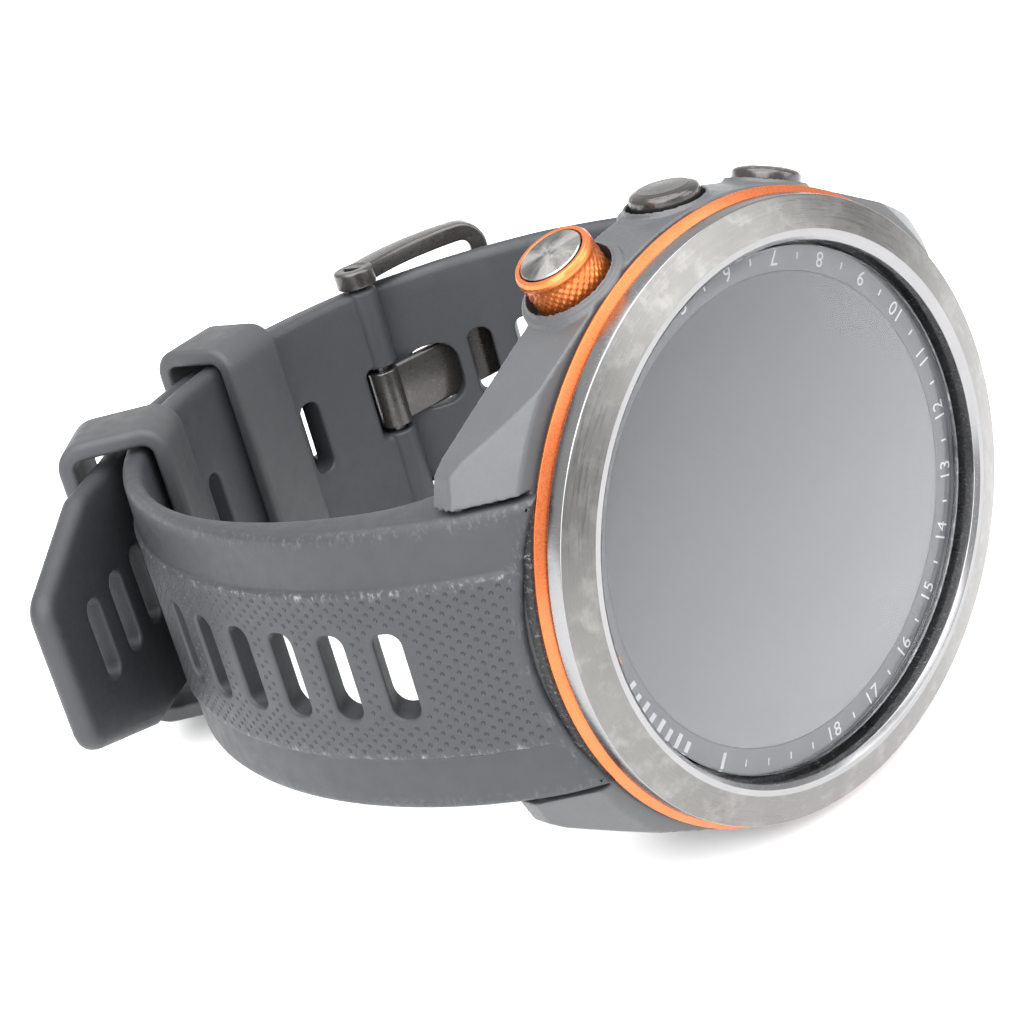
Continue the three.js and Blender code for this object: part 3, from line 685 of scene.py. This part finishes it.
def build_case():
    plan = [(0, 0), (20.2, 0), (23.6, 4.6), (29.0, 5.0), (29.05, 5.35), (24.75, 10.0), (0, 10.0)]
    body = make("case_shell", *lathe_mesh(plan, 256))
    corners = [(x, y) for x in (1, -1) for y in (1, -1)]
    lugs, *others = [make("lug", *prism_mesh(lug_outline(*corner), -1, 12)) for corner in corners]
    others.append(make("rim", *lathe_mesh([(0, -1), (CASE_R, -1), (CASE_R, 12), (0, 12)], 256)))
    for other in others:
        combine(lugs, other, "UNION")
    combine(body, lugs, "INTERSECT")
    for name, (radius, top, _, _) in BOSSES.items():
        outline = filleted([(0, 19.5, 0), (radius + 0.5, 19.5, 0), (radius + 0.5, top - 0.45, 0.15),
                            (radius, top - 0.4, 0.1), (radius, top, 0.2), (0, top, 0)])
        combine(body, make("boss", *lathe_mesh(outline, 64), matrix=button_frame(name)), "UNION")
    cutters = [lathe_mesh([(0, 3.2), (18.9, 3.2), (18.9, 8.6), (21.05, 8.6), (21.05, 14), (0, 14)], 128),
               lathe_mesh([(0, -1), (19.3, -1), (19.3, 1.7), (14.2, 1.7), (14.2, 5), (0, 5)], 128)]
    cutters += [block_mesh(LUG_IN_X, y, y + 7.7, -2, 8.3) for y in (22.3, -30.0)]
    for name, (_, _, radius, floor) in BOSSES.items():
        recess = lathe_mesh([(0, floor), (radius, floor), (radius, 32), (0, 32)], 64)
        cutters.append(moved(recess, button_frame(name)))
    for cutter in cutters:
        combine(body, make("cutter", *cutter), "DIFFERENCE")
    soften(body, voxel=0.115, passes=8, keep=0.25)
    finished(body, "case_polymer", CASE, "case_body")


def knurled_side(radius, low, high, teeth=30, rows=4):
    """A band of raised diamonds round a cylinder, as a closed ring with a plain inside."""
    across, up = teeth * 4, rows * 4
    turns = [2 * math.pi * i / across for i in range(across)]

    def diamonds(i, j):
        u, v = i / 4, j / 4
        ridge = abs((u + v) % 1 - 0.5) + abs((u - v) % 1 - 0.5) - 0.5
        return radius + min(1.0, min(j, up - j) / 2) * (0.17 * ridge - 0.08)

    circles = [(low + (high - low) * j / up, [diamonds(i, j) for i in range(across)])
               for j in range(up + 1)]
    circles += [(z, [radius - 0.6] * across) for z in (high, low)]
    verts = [(r * math.cos(a), r * math.sin(a), z) for z, radii in circles for r, a in zip(radii, turns)]
    return verts, belts([list(range(k * across, (k + 1) * across)) for k in range(len(circles))])


def build_buttons():
    place = button_frame("start")
    core = lathe_mesh(filleted([
        (0, 23.3, 0), (2.6, 23.3, 0.1), (2.6, 25.7, 0), (2.98, 25.76, 0.1), (2.96, 26.1, 0.12),
        (2.8, 26.4, 0.1), (2.5, 26.4, 0.05), (2.45, 25.9, 0), (0, 25.9, 0)]), 128)
    knurl = knurled_side(2.98, 23.35, 25.78)
    crown = make("start_crown", *joined(core, knurl), matrix=place, sharp=60)
    finished(crown, "crown_orange", CROWN, "start_knurled_cap", body="start_button")
    domed = [(0, 25.9), (2.38, 25.9), (2.38, 26.42), (2.3, 26.5), (1.6, 26.6), (0.8, 26.66), (0, 26.68)]
    disc = lathe("start_disc", domed, place, BUTTON_SIDES)
    finished(disc, "insert_black", INSERT_PAINTED_HIGHLIGHT, "start_insert", body="start_button")
    for name in ("menu", "back"):
        turns = [math.radians(90 * k / 8) for k in range(1, 9)]
        dome = [(0, 23.1), (2.45, 23.1), (2.6, 23.25), (2.6, 24.3),
                *[(1.7 + 0.9 * math.cos(a), 24.3 + 0.5 * math.sin(a)) for a in turns],
                (1.0, 24.86), (0, 24.9)]
        cap = lathe(f"{name}_dome", dome, button_frame(name), BUTTON_SIDES, sharp=50)
        finished(cap, "cap_gunmetal", CAP, body=f"{name}_button")


# ---------------- strap paths


class Path:
    """A chain of arcs in the YZ plane, as places (y, z, heading, distance)."""

    def __init__(self, y, z, heading):
        self.places = [(y, z, heading, 0.0)]

    @staticmethod
    def on_clasp(radius, degrees, backwards=False):
        y, z = polar(radius, degrees)
        heading = math.radians(degrees + (270 if backwards else 90))
        return Path(CLASP[0] + y, CLASP[1] + z, heading)

    def follow(self, *arcs):
        """Arcs (turn in degrees, + left, radius) and straights (0, length)."""
        for turn, size in arcs:
            y0, z0, h0, s0 = self.places[-1]
            count = max(1, math.ceil(abs(turn))) if turn else 8
            for t in [i / count for i in range(1, count + 1)]:
                if turn == 0:
                    y, z = y0 + size * t * math.cos(h0), z0 + size * t * math.sin(h0)
                    self.places.append((y, z, h0, s0 + size * t))
                    continue
                radius, h = math.copysign(size, turn), h0 + math.radians(turn) * t
                y = y0 + radius * (math.sin(h) - math.sin(h0))
                z = z0 - radius * (math.cos(h) - math.cos(h0))
                self.places.append((y, z, h, s0 + size * abs(math.radians(turn)) * t))
        return self

    def length(self):
        return self.places[-1][3]

    def reverse(self):
        total = self.length()
        self.places = [(y, z, h + math.pi, total - s) for y, z, h, s in reversed(self.places)]
        return self

    def join(self, other):
        """The other path, which starts where this one ends, added on."""
        total = self.length()
        turn = round((self.places[-1][2] - other.places[0][2]) / (2 * math.pi)) * 2 * math.pi
        self.places += [(y, z, h + turn, s + total) for y, z, h, s in other.places[1:]]
        return self

    def at(self, s):
        s = min(max(s, self.places[0][3]), self.places[-1][3])
        low = bisect_right(self.places, s, key=lambda place: place[3]) - 1
        low = min(max(low, 0), len(self.places) - 2)
        a, b = self.places[low:low + 2]
        t = (s - a[3]) / (b[3] - a[3])
        return tuple(a[k] + (b[k] - a[k]) * t for k in range(3))


class Ribbon:
    """A strap between an outer path and an inner line of points, with the loop's inside on one side."""

    def __init__(self, outer, inner, side, step=0.4):
        self.outer, self.side, self.step = outer, side, step
        count = int(outer.length() / step) + 2
        self.table = [self.measure(min(i * step, outer.length()), inner) for i in range(count)]
        for i, thick in enumerate(self.table):
            if thick is None:
                self.table[i] = next((t for t in self.table[max(0, i - 3):i + 4] if t), 2.0)

    def frame(self, s):
        y, z, h = self.outer.at(s)
        return Vector((0, y, z)), Vector((0, -math.sin(h), math.cos(h))) * self.side

    def measure(self, s, inner):
        start, normal = self.frame(s)
        best = None
        for (y1, z1), (y2, z2) in zip(inner, inner[1:]):
            dy, dz = y2 - y1, z2 - z1
            det = normal.y * -dz + normal.z * dy
            if abs(det) < 1e-9:
                continue
            ry, rz = y1 - start.y, z1 - start.z
            depth = (ry * -dz + rz * dy) / det
            where = (normal.y * rz - normal.z * ry) / det
            if -1e-6 <= where <= 1 + 1e-6 and 0.5 < depth < 12 and (best is None or depth < best):
                best = depth
        return best

    def thick(self, s):
        i = min(max(s / self.step, 0), len(self.table) - 1.001)
        a, b = self.table[int(i)], self.table[int(i) + 1]
        return a + (b - a) * (i - int(i))

    def point(self, s, x, depth):
        start, normal = self.frame(s)
        return Vector((x, 0, 0)) + start + normal * depth


DIMPLE_DEPTH = 0.13
DIMPLE_RINGS = ((0.1, 0.1, 6), (0.19, 0.0, 8))      # radius, depth, points


def slot_ring(slot, grow):
    """A slot's rounded outline, clockwise, grown by a distance."""
    s, along, across = slot[:3]
    a, b, r = along + grow, across + grow, min(along, across) * 0.82 + grow
    ring = filleted([(a, -b, r), (a, b, r), (-a, b, r), (-a, -b, r)], 6)
    return [Vector((s + p.x, p.y)) for p in ring][::-1]


def dimple_points(centre):
    """The points (place, depth, wear) of one round dimple."""
    points = [(centre, DIMPLE_DEPTH, 0.0)]
    for radius, depth, count in DIMPLE_RINGS:
        turns = [2 * math.pi * k / count for k in range(count)]
        points += [(centre + Vector((math.cos(a), math.sin(a))) * radius, depth, 0.0) for a in turns]
    return points


def strap_mesh(ribbon, outline, slots, relief, dimples, edge=0.7, rim=0.28, steps=4):
    """A closed strap from an outline (s, x), with slots through it. A slot is (s, half length, half width,
    flare, lean): on the inner face it is wider by its flare and lies further along by its lean.

    Both faces are triangulated in the plane of (s, x) and then bent onto the ribbon. Every rim is
    a quarter round of its own radius.
    """
    outline = divided(outline)
    loops = [(lambda d: inset(outline, d), edge, 0.0, Vector((0, 0)))]
    loops += [(lambda d, slot=slot: slot_ring(slot, d), rim, slot[3], Vector((slot[4], 0)))
              for slot in slots]
    verts, faces, wear = [], [], []

    def add(s, x, depth, worn):
        verts.append(ribbon.point(s, x, depth))
        wear.append(worn)
        return len(verts) - 1

    rims = {"top": [], "bottom": []}          # each loop's line where the flat begins, and its vertices
    for ring_at, radius, flare, lean in loops:
        rings = []
        for face, order in (("top", range(steps + 1)), ("bottom", range(steps, -1, -1))):
            for k in order:
                angle = math.pi / 2 * k / steps
                depth, distance = radius * (1 - math.cos(angle)), radius * (1 - math.sin(angle))
                ring = []
                for p in ring_at(distance + (flare if face == "bottom" else 0)):
                    p = p + lean if face == "bottom" else p
                    thick = ribbon.thick(p.x)
                    d = min(depth, thick / 2)
                    worn = 0.25 if face == "top" and radius == edge and k < 3 else 0.0
                    top = min(relief(p.x, p.y) + d, thick / 2)
                    ring.append(add(p.x, p.y, top if face == "top" else thick - d, worn))
                rings.append(ring)
        faces += belts(rings, closed=False)
        rims["top"].append((ring_at(radius), rings[0]))
        rims["bottom"].append(([p + lean for p in ring_at(radius + flare)], rings[-1]))

    ends = [p.x for p in rims["top"][0][0]]
    guards = {"top": [slot_ring(slot, rim + 0.35) for slot in slots],
              "bottom": [[q + Vector((slot[4], 0)) for q in slot_ring(slot, rim + slot[3] + 0.35)]
                         for slot in slots]}
    near_edge = inset(outline, edge + 0.24)

    def free(point, face):
        return inside(point, near_edge) and not any(inside(point, guard) for guard in guards[face])

    for face in ("top", "bottom"):
        top = face == "top"
        flat, owner, extra, lines = [], [], [], []
        for ring, numbers in rims[face]:
            base = len(flat)
            flat += ring
            owner += numbers
            lines += [(base + k, base + (k + 1) % len(ring)) for k in range(len(ring))]
        s = min(ends) + 0.5
        while s < max(ends):
            for x, kind in grid_columns(top):
                point = Vector((s, x))
                if free(point, face) and not (top and kind == "band" and dimples):
                    extra.append((point, 0.0, band_wear(x) if top else 0.0))
            s += 0.8 if top else 1.4
        for centre in dimples if top else []:
            if free(centre, face):
                extra += dimple_points(centre)
        for point, depth, worn in extra:
            place = relief(point.x, point.y) + depth if top else ribbon.thick(point.x)
            flat.append(point)
            owner.append(add(point.x, point.y, place, worn))
        points, _, triangles, origins, _, _ = delaunay_2d_cdt(flat, lines, [], 1, 1e-6)
        source = [owner[o[0]] if o else None for o in origins]
        for triangle in triangles:
            corners = [source[k] for k in triangle]
            if None in corners or len(set(corners)) < 3:
                continue
            middle = sum((points[k] for k in triangle), Vector((0, 0))) / 3
            if not any(inside(middle, hole) for hole, _ in rims[face][1:]):
                faces.append(corners)
    return verts, faces, wear


BAND_HALF = 6.4
BAND_STEP = 0.35


def grid_columns(top):
    """Where the rows of a face's points stand across the strap."""
    if not top:
        return [(x * 1.6, "side") for x in range(-6, 7)]
    half = [BAND_HALF + x for x in (-0.12, 0, 0.12, 0.24, BAND_STEP, BAND_STEP + 0.15)] + [7.8, 8.8, 9.7]
    return [(x * 1.05, "band") for x in range(-5, 6)] + [(way * x, "side") for way in (1, -1) for x in half]


def band_wear(x):
    return max(0.0, 1.0 - abs(abs(x) - BAND_HALF) / 0.3)


def band_relief(drop=0.3, crown=0.05):
    """The side strips lie a step below the dotted band and fall away a little to the edges."""
    def relief(s, x):
        t = min(max((abs(x) - BAND_HALF) / BAND_STEP, 0), 1)
        return drop * t * t * (3 - 2 * t) + crown * max(0, abs(x) - 7) ** 2 / 6
    return relief


def dimple_field(low, high, half=6.0, pitch_s=0.62, pitch_x=0.9):
    """Staggered dimples between two distances along the strap."""
    found, s, shift = [], low, 0.0
    count = int(half / pitch_x) + 1
    while s < high:
        places = [k * pitch_x + shift for k in range(-count, count + 1)]
        found += [Vector((s, x)) for x in places if abs(x) < half]
        s += pitch_s
        shift = pitch_x / 2 - shift
    return found


def case_end(path, half, count=11):
    """Where the strap's outer face meets the round of the case, for places across the strap."""
    ends = []
    for k in range(count + 1):
        x = half * (1 - 2 * k / count)
        reach = math.sqrt((CASE_R + GAP) ** 2 - x * x)
        s = path.length()
        while abs(path.at(s)[0]) < reach and s > 1:
            s -= 0.1
        ends.append((s, x))
    return ends


def yz(path):
    return [(y, z) for y, z, _, _ in path.places]


# ---------------- straps


def pin_eye(side, bore, radius, low, high, rounds):
    """A round eye on the buckle's pin, from low to high across the watch on one side."""
    corners = [(bore, low), (radius, low), (radius, high), (bore, high)]
    eye = lathe_mesh(filleted([(*corner, r) for corner, r in zip(corners, rounds)]), 48)
    axes = Vector((0, 1, 0)), Vector((0, 0, side)), Vector((side, 0, 0))
    return moved(eye, axes_at(on_clasp(PIN_RADIUS, PIN_ANGLE), *axes))


NOTCH = (2.2, 3.3)            # for the tongue, in the end of the buckle strap: depth, half width
SLOT = (1.1, 3.3)             # half length, half width
END_Y, END_Z = 22.65, 8.05    # the step that the straps' ends fit over, under the case


def build_buckle_strap():
    outer = Path.on_clasp(INNER_LAYER[1], PIN_ANGLE).follow(
        (NECK_ANGLE - PIN_ANGLE, INNER_LAYER[1]), (52.5, 35.3), (33.1, 33.7), (19.6, 16.1))
    inner = Path.on_clasp(INNER_LAYER[0], PIN_ANGLE).follow(
        (NECK_ANGLE - PIN_ANGLE, INNER_LAYER[0]), (6.4, 60.0), (75.1, 26.0), (37.9, 8.0))
    underside = yz(inner) + [(END_Y, inner.places[-1][1]), (END_Y, END_Z), (20.0, END_Z)]
    ribbon = Ribbon(outer, underside, side=1)
    far = [(s, x, 0) for s, x in reversed(case_end(outer, STRAP_HALF))]
    deep, half = NOTCH
    outline = filleted([(0, STRAP_HALF, 1.0), (0, half, 0.8), (deep, half, 0.6), (deep, -half, 0.6),
                        (0, -half, 0.8), (0, -STRAP_HALF, 1.0), *far], 6)
    leans = (-1.3, -1.0, -0.8, -0.3, -0.2, 0.0)
    slots = [(outer.length() - 13.4 - k * 4.67, *SLOT, 0.45, lean) for k, lean in enumerate(leans)]
    slots += [(10.1, *SLOT, 0.1, 0), (26.6, *SLOT, 0.1, 0)]
    dots = dimple_field(34.0, outer.length() + 1.0)
    verts, faces, wear = strap_mesh(ribbon, outline, slots, band_relief(), dots)
    eyes = [pin_eye(side, 0.9, 1.6, NOTCH[1], STRAP_HALF, (0, 0.3, 0.5, 0.1)) for side in (1, -1)]
    verts, faces = joined((verts, faces), *eyes)
    wear += [0.0] * (len(verts) - len(wear))
    strap = make("strap_12", verts, faces, sharp=50, wear=wear)
    finished(strap, "strap_silicone", STRAP, "buckle_strap")


TAIL = {"leaves": -46.0, "bend": -6.4, "radius": 40.0, "straight": 17.8, "taper": 11.5, "tip": 6.2}


def build_long_strap():
    to_tail = TAIL["leaves"] - PIN_ANGLE
    tail_outer = Path.on_clasp(OUTER_LAYER[1], PIN_ANGLE).follow(
        (to_tail, OUTER_LAYER[1]), (TAIL["bend"], TAIL["radius"] - 1.05), (0, TAIL["straight"]))
    tail_inner = Path.on_clasp(OUTER_LAYER[0], PIN_ANGLE).follow(
        (to_tail, OUTER_LAYER[0]), (TAIL["bend"], TAIL["radius"] + 1.05), (0, TAIL["straight"]))
    outer = Path.on_clasp(OUTER_LAYER[1], PIN_ANGLE, True).follow(
        (-22, OUTER_LAYER[1] - PIN_RADIUS), (0, 7), (-7.7, 15.1), (-47.8, 40.8), (-60.0, 29.6))
    inner = Path.on_clasp(OUTER_LAYER[0], PIN_ANGLE, True).follow(
        (-22, OUTER_LAYER[0] - PIN_RADIUS), (0, 7), (-7.7, 13.0), (-47.8, 38.7), (-20.0, 27.5),
        (-60.0, 13.5))
    pin_s = tail_outer.length()
    whole = tail_outer.reverse().join(outer)
    under = tail_inner.reverse().join(inner)
    underside = yz(under) + [(-END_Y, under.places[-1][1]), (-END_Y, END_Z), (-20.0, END_Z)]
    ribbon = Ribbon(whole, underside, side=-1)

    side = [(0.0, TAIL["tip"], 2.2), (TAIL["taper"], CLASP_HALF, 3.0), (pin_s, CLASP_HALF, 0),
            (pin_s + 22, STRAP_HALF, 0)]
    far = [(s, x, 0) for s, x in reversed(case_end(whole, STRAP_HALF))]
    outline = filleted([*[(s, -x, r) for s, x, r in side], *far, *side[::-1]], 6)
    slots = [(pin_s - (-1.6 + k * SLOT_PITCH), *SLOT, 0.1, 0) for k in range(1, 12)]
    slots += [(pin_s + 6.4, 2.7, 3.1, 0, 0)]
    slots += [(pin_s + 6.9 + k * SLOT_PITCH, *SLOT, 0.1, 0) for k in range(1, 4)]
    slots = [slot for slot in slots if slot[0] > 2.2]
    dots = dimple_field(pin_s + 25.0, whole.length() + 1.0)
    relief = band_relief()

    def smooth_then_band(s, x):
        blend = min(max((s - pin_s - 20.0) / 4.0, 0), 1)
        return relief(s, x) * blend

    verts, faces, wear = strap_mesh(ribbon, outline, slots, smooth_then_band, dots, edge=0.9)
    strap = make("strap_6", verts, faces, sharp=50, wear=wear)
    finished(strap, "strap_silicone", STRAP, "long_strap")


def clasp_frame(radius, degrees):
    """Axes at a place on the clasp: across the watch, along the clasp and outwards."""
    across, forwards = Vector((-1, 0, 0)), Vector((0, *polar(1, degrees + 90)))
    return axes_at(on_clasp(radius, degrees), across, forwards, across.cross(forwards))


def build_keepers():
    half, low = 11.4, 34.75               # of the opening
    wall, length, corner = 1.45, 6.9, 1.6
    for i, (degrees, high) in enumerate(zip(KEEPER_ANGLES, KEEPER_HIGHS), 1):
        side, reach = half + wall / 2, (high - low) / 2 + wall / 2
        line = filleted([(side, -reach, corner), (side, reach, corner),
                         (-side, reach, corner), (-side, -reach, corner)], 8)
        dense = []
        for a, b in zip(line, line[1:] + line[:1]):
            parts = max(1, int((b - a).length / 1.2))
            dense += [a.lerp(b, k / parts) for k in range(parts)]
        frames = []
        for k, here in enumerate(dense):
            along = (dense[(k + 1) % len(dense)] - dense[k - 1]).normalized()
            frames.append((Vector((here.x, 0, here.y)), Vector((along.y, 0, -along.x)), Vector((0, 1, 0))))
        section = filleted([(-wall / 2, -length / 2, 0.35), (wall / 2, -length / 2, 0.55),
                            (wall / 2, length / 2, 0.55), (-wall / 2, length / 2, 0.35)])
        keeper = make(f"keeper_band_{i}", *sweep_mesh(frames, section, closed=True),
                      matrix=clasp_frame((high + low) / 2, degrees), sharp=60)
        finished(keeper, "keeper_silicone", KEEPER, f"keeper_{i}", body=f"free_keeper_{i}")


# ---------------- buckle

ARM = (11.3, 13.0)            # from the middle of the watch
ARM_LOW, ARM_HIGH = -1.15, 1.6
ARM_CROWN = (40.7, -110.0)    # where each arm's curve is drawn to, about the clasp's centre
BAR_CORNER = 1.7
PIN_HOLE = 0.85
TONGUE = {"length": 15.9, "half": 2.8, "thick": 0.9, "round_from": 0.86}
LEVER = {"low": -2.2, "high": 0.4, "thick": 0.9, "from": 2.1, "to": 5.1}


def slab(low_a, high_a, low_b, high_b, low_round, high_round, steps=5):
    """A rectangle with its lower corners rounded one way and its upper corners another."""
    return filleted([(low_a, low_b, low_round), (high_a, low_b, low_round),
                     (high_a, high_b, high_round), (low_a, high_b, high_round)], steps)


def build_buckle_loop():
    """The buckle's loop: two arms that curve over from the pin, and the bar that joins them."""
    pin, bar, crown = (on_clasp(*place) for place in
                       ((PIN_RADIUS, PIN_ANGLE), (BAR_RADIUS, BAR_ANGLE), ARM_CROWN))
    middle, half = sum(ARM) / 2, (ARM[1] - ARM[0]) / 2
    side = [pin * (1 - t) ** 2 + crown * 2 * t * (1 - t) + bar * t * t for t in [k / 14 for k in range(15)]]
    line = [Vector((middle, p.y, p.z)) for p in side if (p - bar).length > BAR_CORNER]
    forwards = (bar - side[-3]).normalized()
    for k in range(1, 8):
        a = math.pi / 2 * k / 8
        x = middle - BAR_CORNER * (1 - math.cos(a))
        line.append(Vector((x, 0, 0)) + bar - forwards * BAR_CORNER * (1 - math.sin(a)))
    across = int((middle - BAR_CORNER) / 1.2)
    line += [Vector(((middle - BAR_CORNER) * (1 - k / across), bar.y, bar.z)) for k in range(across + 1)]
    whole = line + [Vector((-p.x, p.y, p.z)) for p in reversed(line[:-1])]
    frames = []
    for k, here in enumerate(whole):
        along = (whole[min(k + 1, len(whole) - 1)] - whole[max(k - 1, 0)]).normalized()
        radial = Vector((0, here.y - CLASP[0], here.z - CLASP[1])).normalized()
        outward = (radial - along * radial.dot(along)).normalized()
        near_bar = max(0.0, 1 - (Vector((0, here.y, here.z)) - bar).length / 5)
        frames.append((here + outward * 0.32 * near_bar, along.cross(outward).normalized(),
                       outward * (1 - 0.2 * near_bar)))
    body = sweep_mesh(frames, slab(-half, half, ARM_LOW, ARM_HIGH, 0.3, 0.5, 4))
    eyes = [pin_eye(way, PIN_HOLE, 1.9, *ARM, (0.1, 0.2, 0.3, 0.12)) for way in (1, -1)]
    loop = make("buckle_loop", *joined(body, *eyes), sharp=50)
    finished(loop, "buckle_gunmetal", BUCKLE, "buckle_frame", body="buckle")


def build_tongue():
    pin, top = on_clasp(PIN_RADIUS, PIN_ANGLE), on_clasp(BAR_RADIUS + 1.85, BAR_ANGLE)
    along = (top - pin).normalized()
    up = Vector((-1, 0, 0)).cross(along)
    half, thick, start = TONGUE["half"], TONGUE["thick"], TONGUE["round_from"]
    frames = []
    for t in [k / 20 for k in range(21)]:
        width = 1.0 if t < start else math.sqrt(max(0.0, 1 - ((t - start) / 0.15) ** 2)) * 0.75 + 0.25
        frames.append((pin + along * TONGUE["length"] * t, Vector((1, 0, 0)) * width, up))
    blade = sweep_mesh(frames, slab(-half, half, -thick / 2, thick / 2, 0.2, 0.35, 4))
    hub = pin_eye(1, PIN_HOLE, 1.45, -half, half, (0.1, 0.2, 0.2, 0.1))
    tongue = make("buckle_tongue_blade", *joined(blade, hub), sharp=50)
    finished(tongue, "buckle_gunmetal", BUCKLE, "buckle_tongue", body="tongue")


def build_levers():
    """The quick-release levers: rounded bars with a ribbed grip, on the inside of the strap's ends."""
    half = LEVER["thick"] / 2
    section = slab(LEVER["low"], LEVER["high"], -half, half, 0.2, 0.25)
    ribs = [(x, x + 0.3, 1.12) for x in (2.7, 3.45, 4.2)]
    for side in (12, 6):
        low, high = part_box(f"latch_{side}")
        centre = WATCH.inverted() @ ((Vector(low) + Vector(high)) / 2)
        slide = (TURN.transposed() @ Vector(joints[f"release_{side}_slide"]["axis"])).normalized()
        normal = slide.cross(Vector((1, 0, 0)))
        bars = []
        for first, last, swell in ((LEVER["from"], LEVER["to"], 1.0), *ribs):
            steps = ((first, 0.8), (first + 0.12, 0.97), (last - 0.12, 0.97), (last, 0.8))
            bars.append(sweep_mesh([(centre + Vector((x, 0, 0)), slide * size, normal * size * swell)
                                    for x, size in steps], section))
        lever = make(f"release_lever_{side}", *joined(*bars), sharp=50)
        finished(lever, "pin_steel", PIN, f"latch_{side}", body=f"release_{side}")


# ---------------- nodes that keep their CAD shape

KEPT = {
    "lens_gasket": SEAL, "display_flex": COPPER, "start_stem": STEEL, "menu_cap": CAP, "back_cap": CAP,
    "gps_antenna_ring": COPPER, "inner_frame": SWITCH, "gps_shield": STEEL, "main_board": BOARD,
    "battery": BATTERY, "vibration_motor": STEEL, "case_back": BACK, "back_gasket": SEAL,
    "sensor_window": SENSOR, "sensor_board": BOARD, "charge_port": BACK, "lug_pin_12": PIN,
    "lug_pin_6": PIN, "buckle_pin": PIN,
}
KEPT.update({f"{name}_{kind}": surface for name in BUTTONS
             for kind, surface in (("clip", STEEL), ("seal", SEAL), ("switch", SWITCH))})
KEPT.update({f"charge_contact_{k}": GOLD for k in range(1, 5)})
KEPT.update({f"back_screw_{k}": STEEL for k in range(1, 5)})


def finish_kept_nodes():
    for name, surface in KEPT.items():
        node = frame["nodes"][name]
        if not node.material_slots:
            node.data.materials.append(surface)
        for slot in node.material_slots:
            slot.material = surface


# ---------------- camera, light and floor


def build_stage():
    camera = bpy.data.cameras.new("camera")
    camera.lens, camera.sensor_width = 76.74, 36.0
    camera.dof.use_dof = False
    holder = linked("camera", camera)
    right = Vector((-0.253, -0.718, 0.648)).normalized()
    up = Vector((0.898, -0.423, -0.119))
    up = (up - right * up.dot(right)).normalized()
    turn = Matrix((right, up, right.cross(up))).transposed()
    holder.matrix_world = (Matrix.Translation(WATCH @ Vector((61.98, 101.61, 117.39)))
                           @ (TURN @ turn).to_4x4())
    camera.clip_start, camera.clip_end = 0.01, 20
    bpy.context.scene.camera = holder

    size = 3.0
    corners = [(-size, -size, 0), (size, -size, 0), (size, size, 0), (-size, size, 0)]
    mesh = bpy.data.meshes.new("floor")
    mesh.from_pydata(corners, [], [[0, 1, 2, 3]])
    mesh.materials.append(paper("floor_paper"))
    linked("floor", mesh)

    world = bpy.data.worlds.new("studio")
    world.use_nodes = True
    background = world.node_tree.nodes["Background"]
    background.inputs["Color"].default_value = (1, 1, 1, 1)
    background.inputs["Strength"].default_value = 1.0
    bpy.context.scene.world = world
    bpy.context.scene.view_settings.view_transform = "Standard"

    def softbox(name, place, size, power):
        light = bpy.data.lights.new(name, "AREA")
        light.shape, light.size, light.energy = "SQUARE", size, power
        box = linked(name, light)
        box.location = place
        box.rotation_mode = "QUATERNION"
        box.rotation_quaternion = (Vector((0, 0, 0.02)) - Vector(place)).to_track_quat("-Z", "Y")

    softbox("top_softbox", (-0.15, -0.1, 0.8), 1.3, 24.0)
    softbox("left_softbox", (-0.9, -0.5, 0.5), 0.8, 9.0)
    softbox("right_softbox", (0.6, -0.9, 0.5), 0.8, 8.0)


# ---------------- the whole watch

build_stage()
build_head()
build_dial_marks()
build_case()
build_buttons()
build_buckle_strap()
build_long_strap()
build_keepers()
build_buckle_loop()
build_tongue()
build_levers()
finish_kept_nodes()
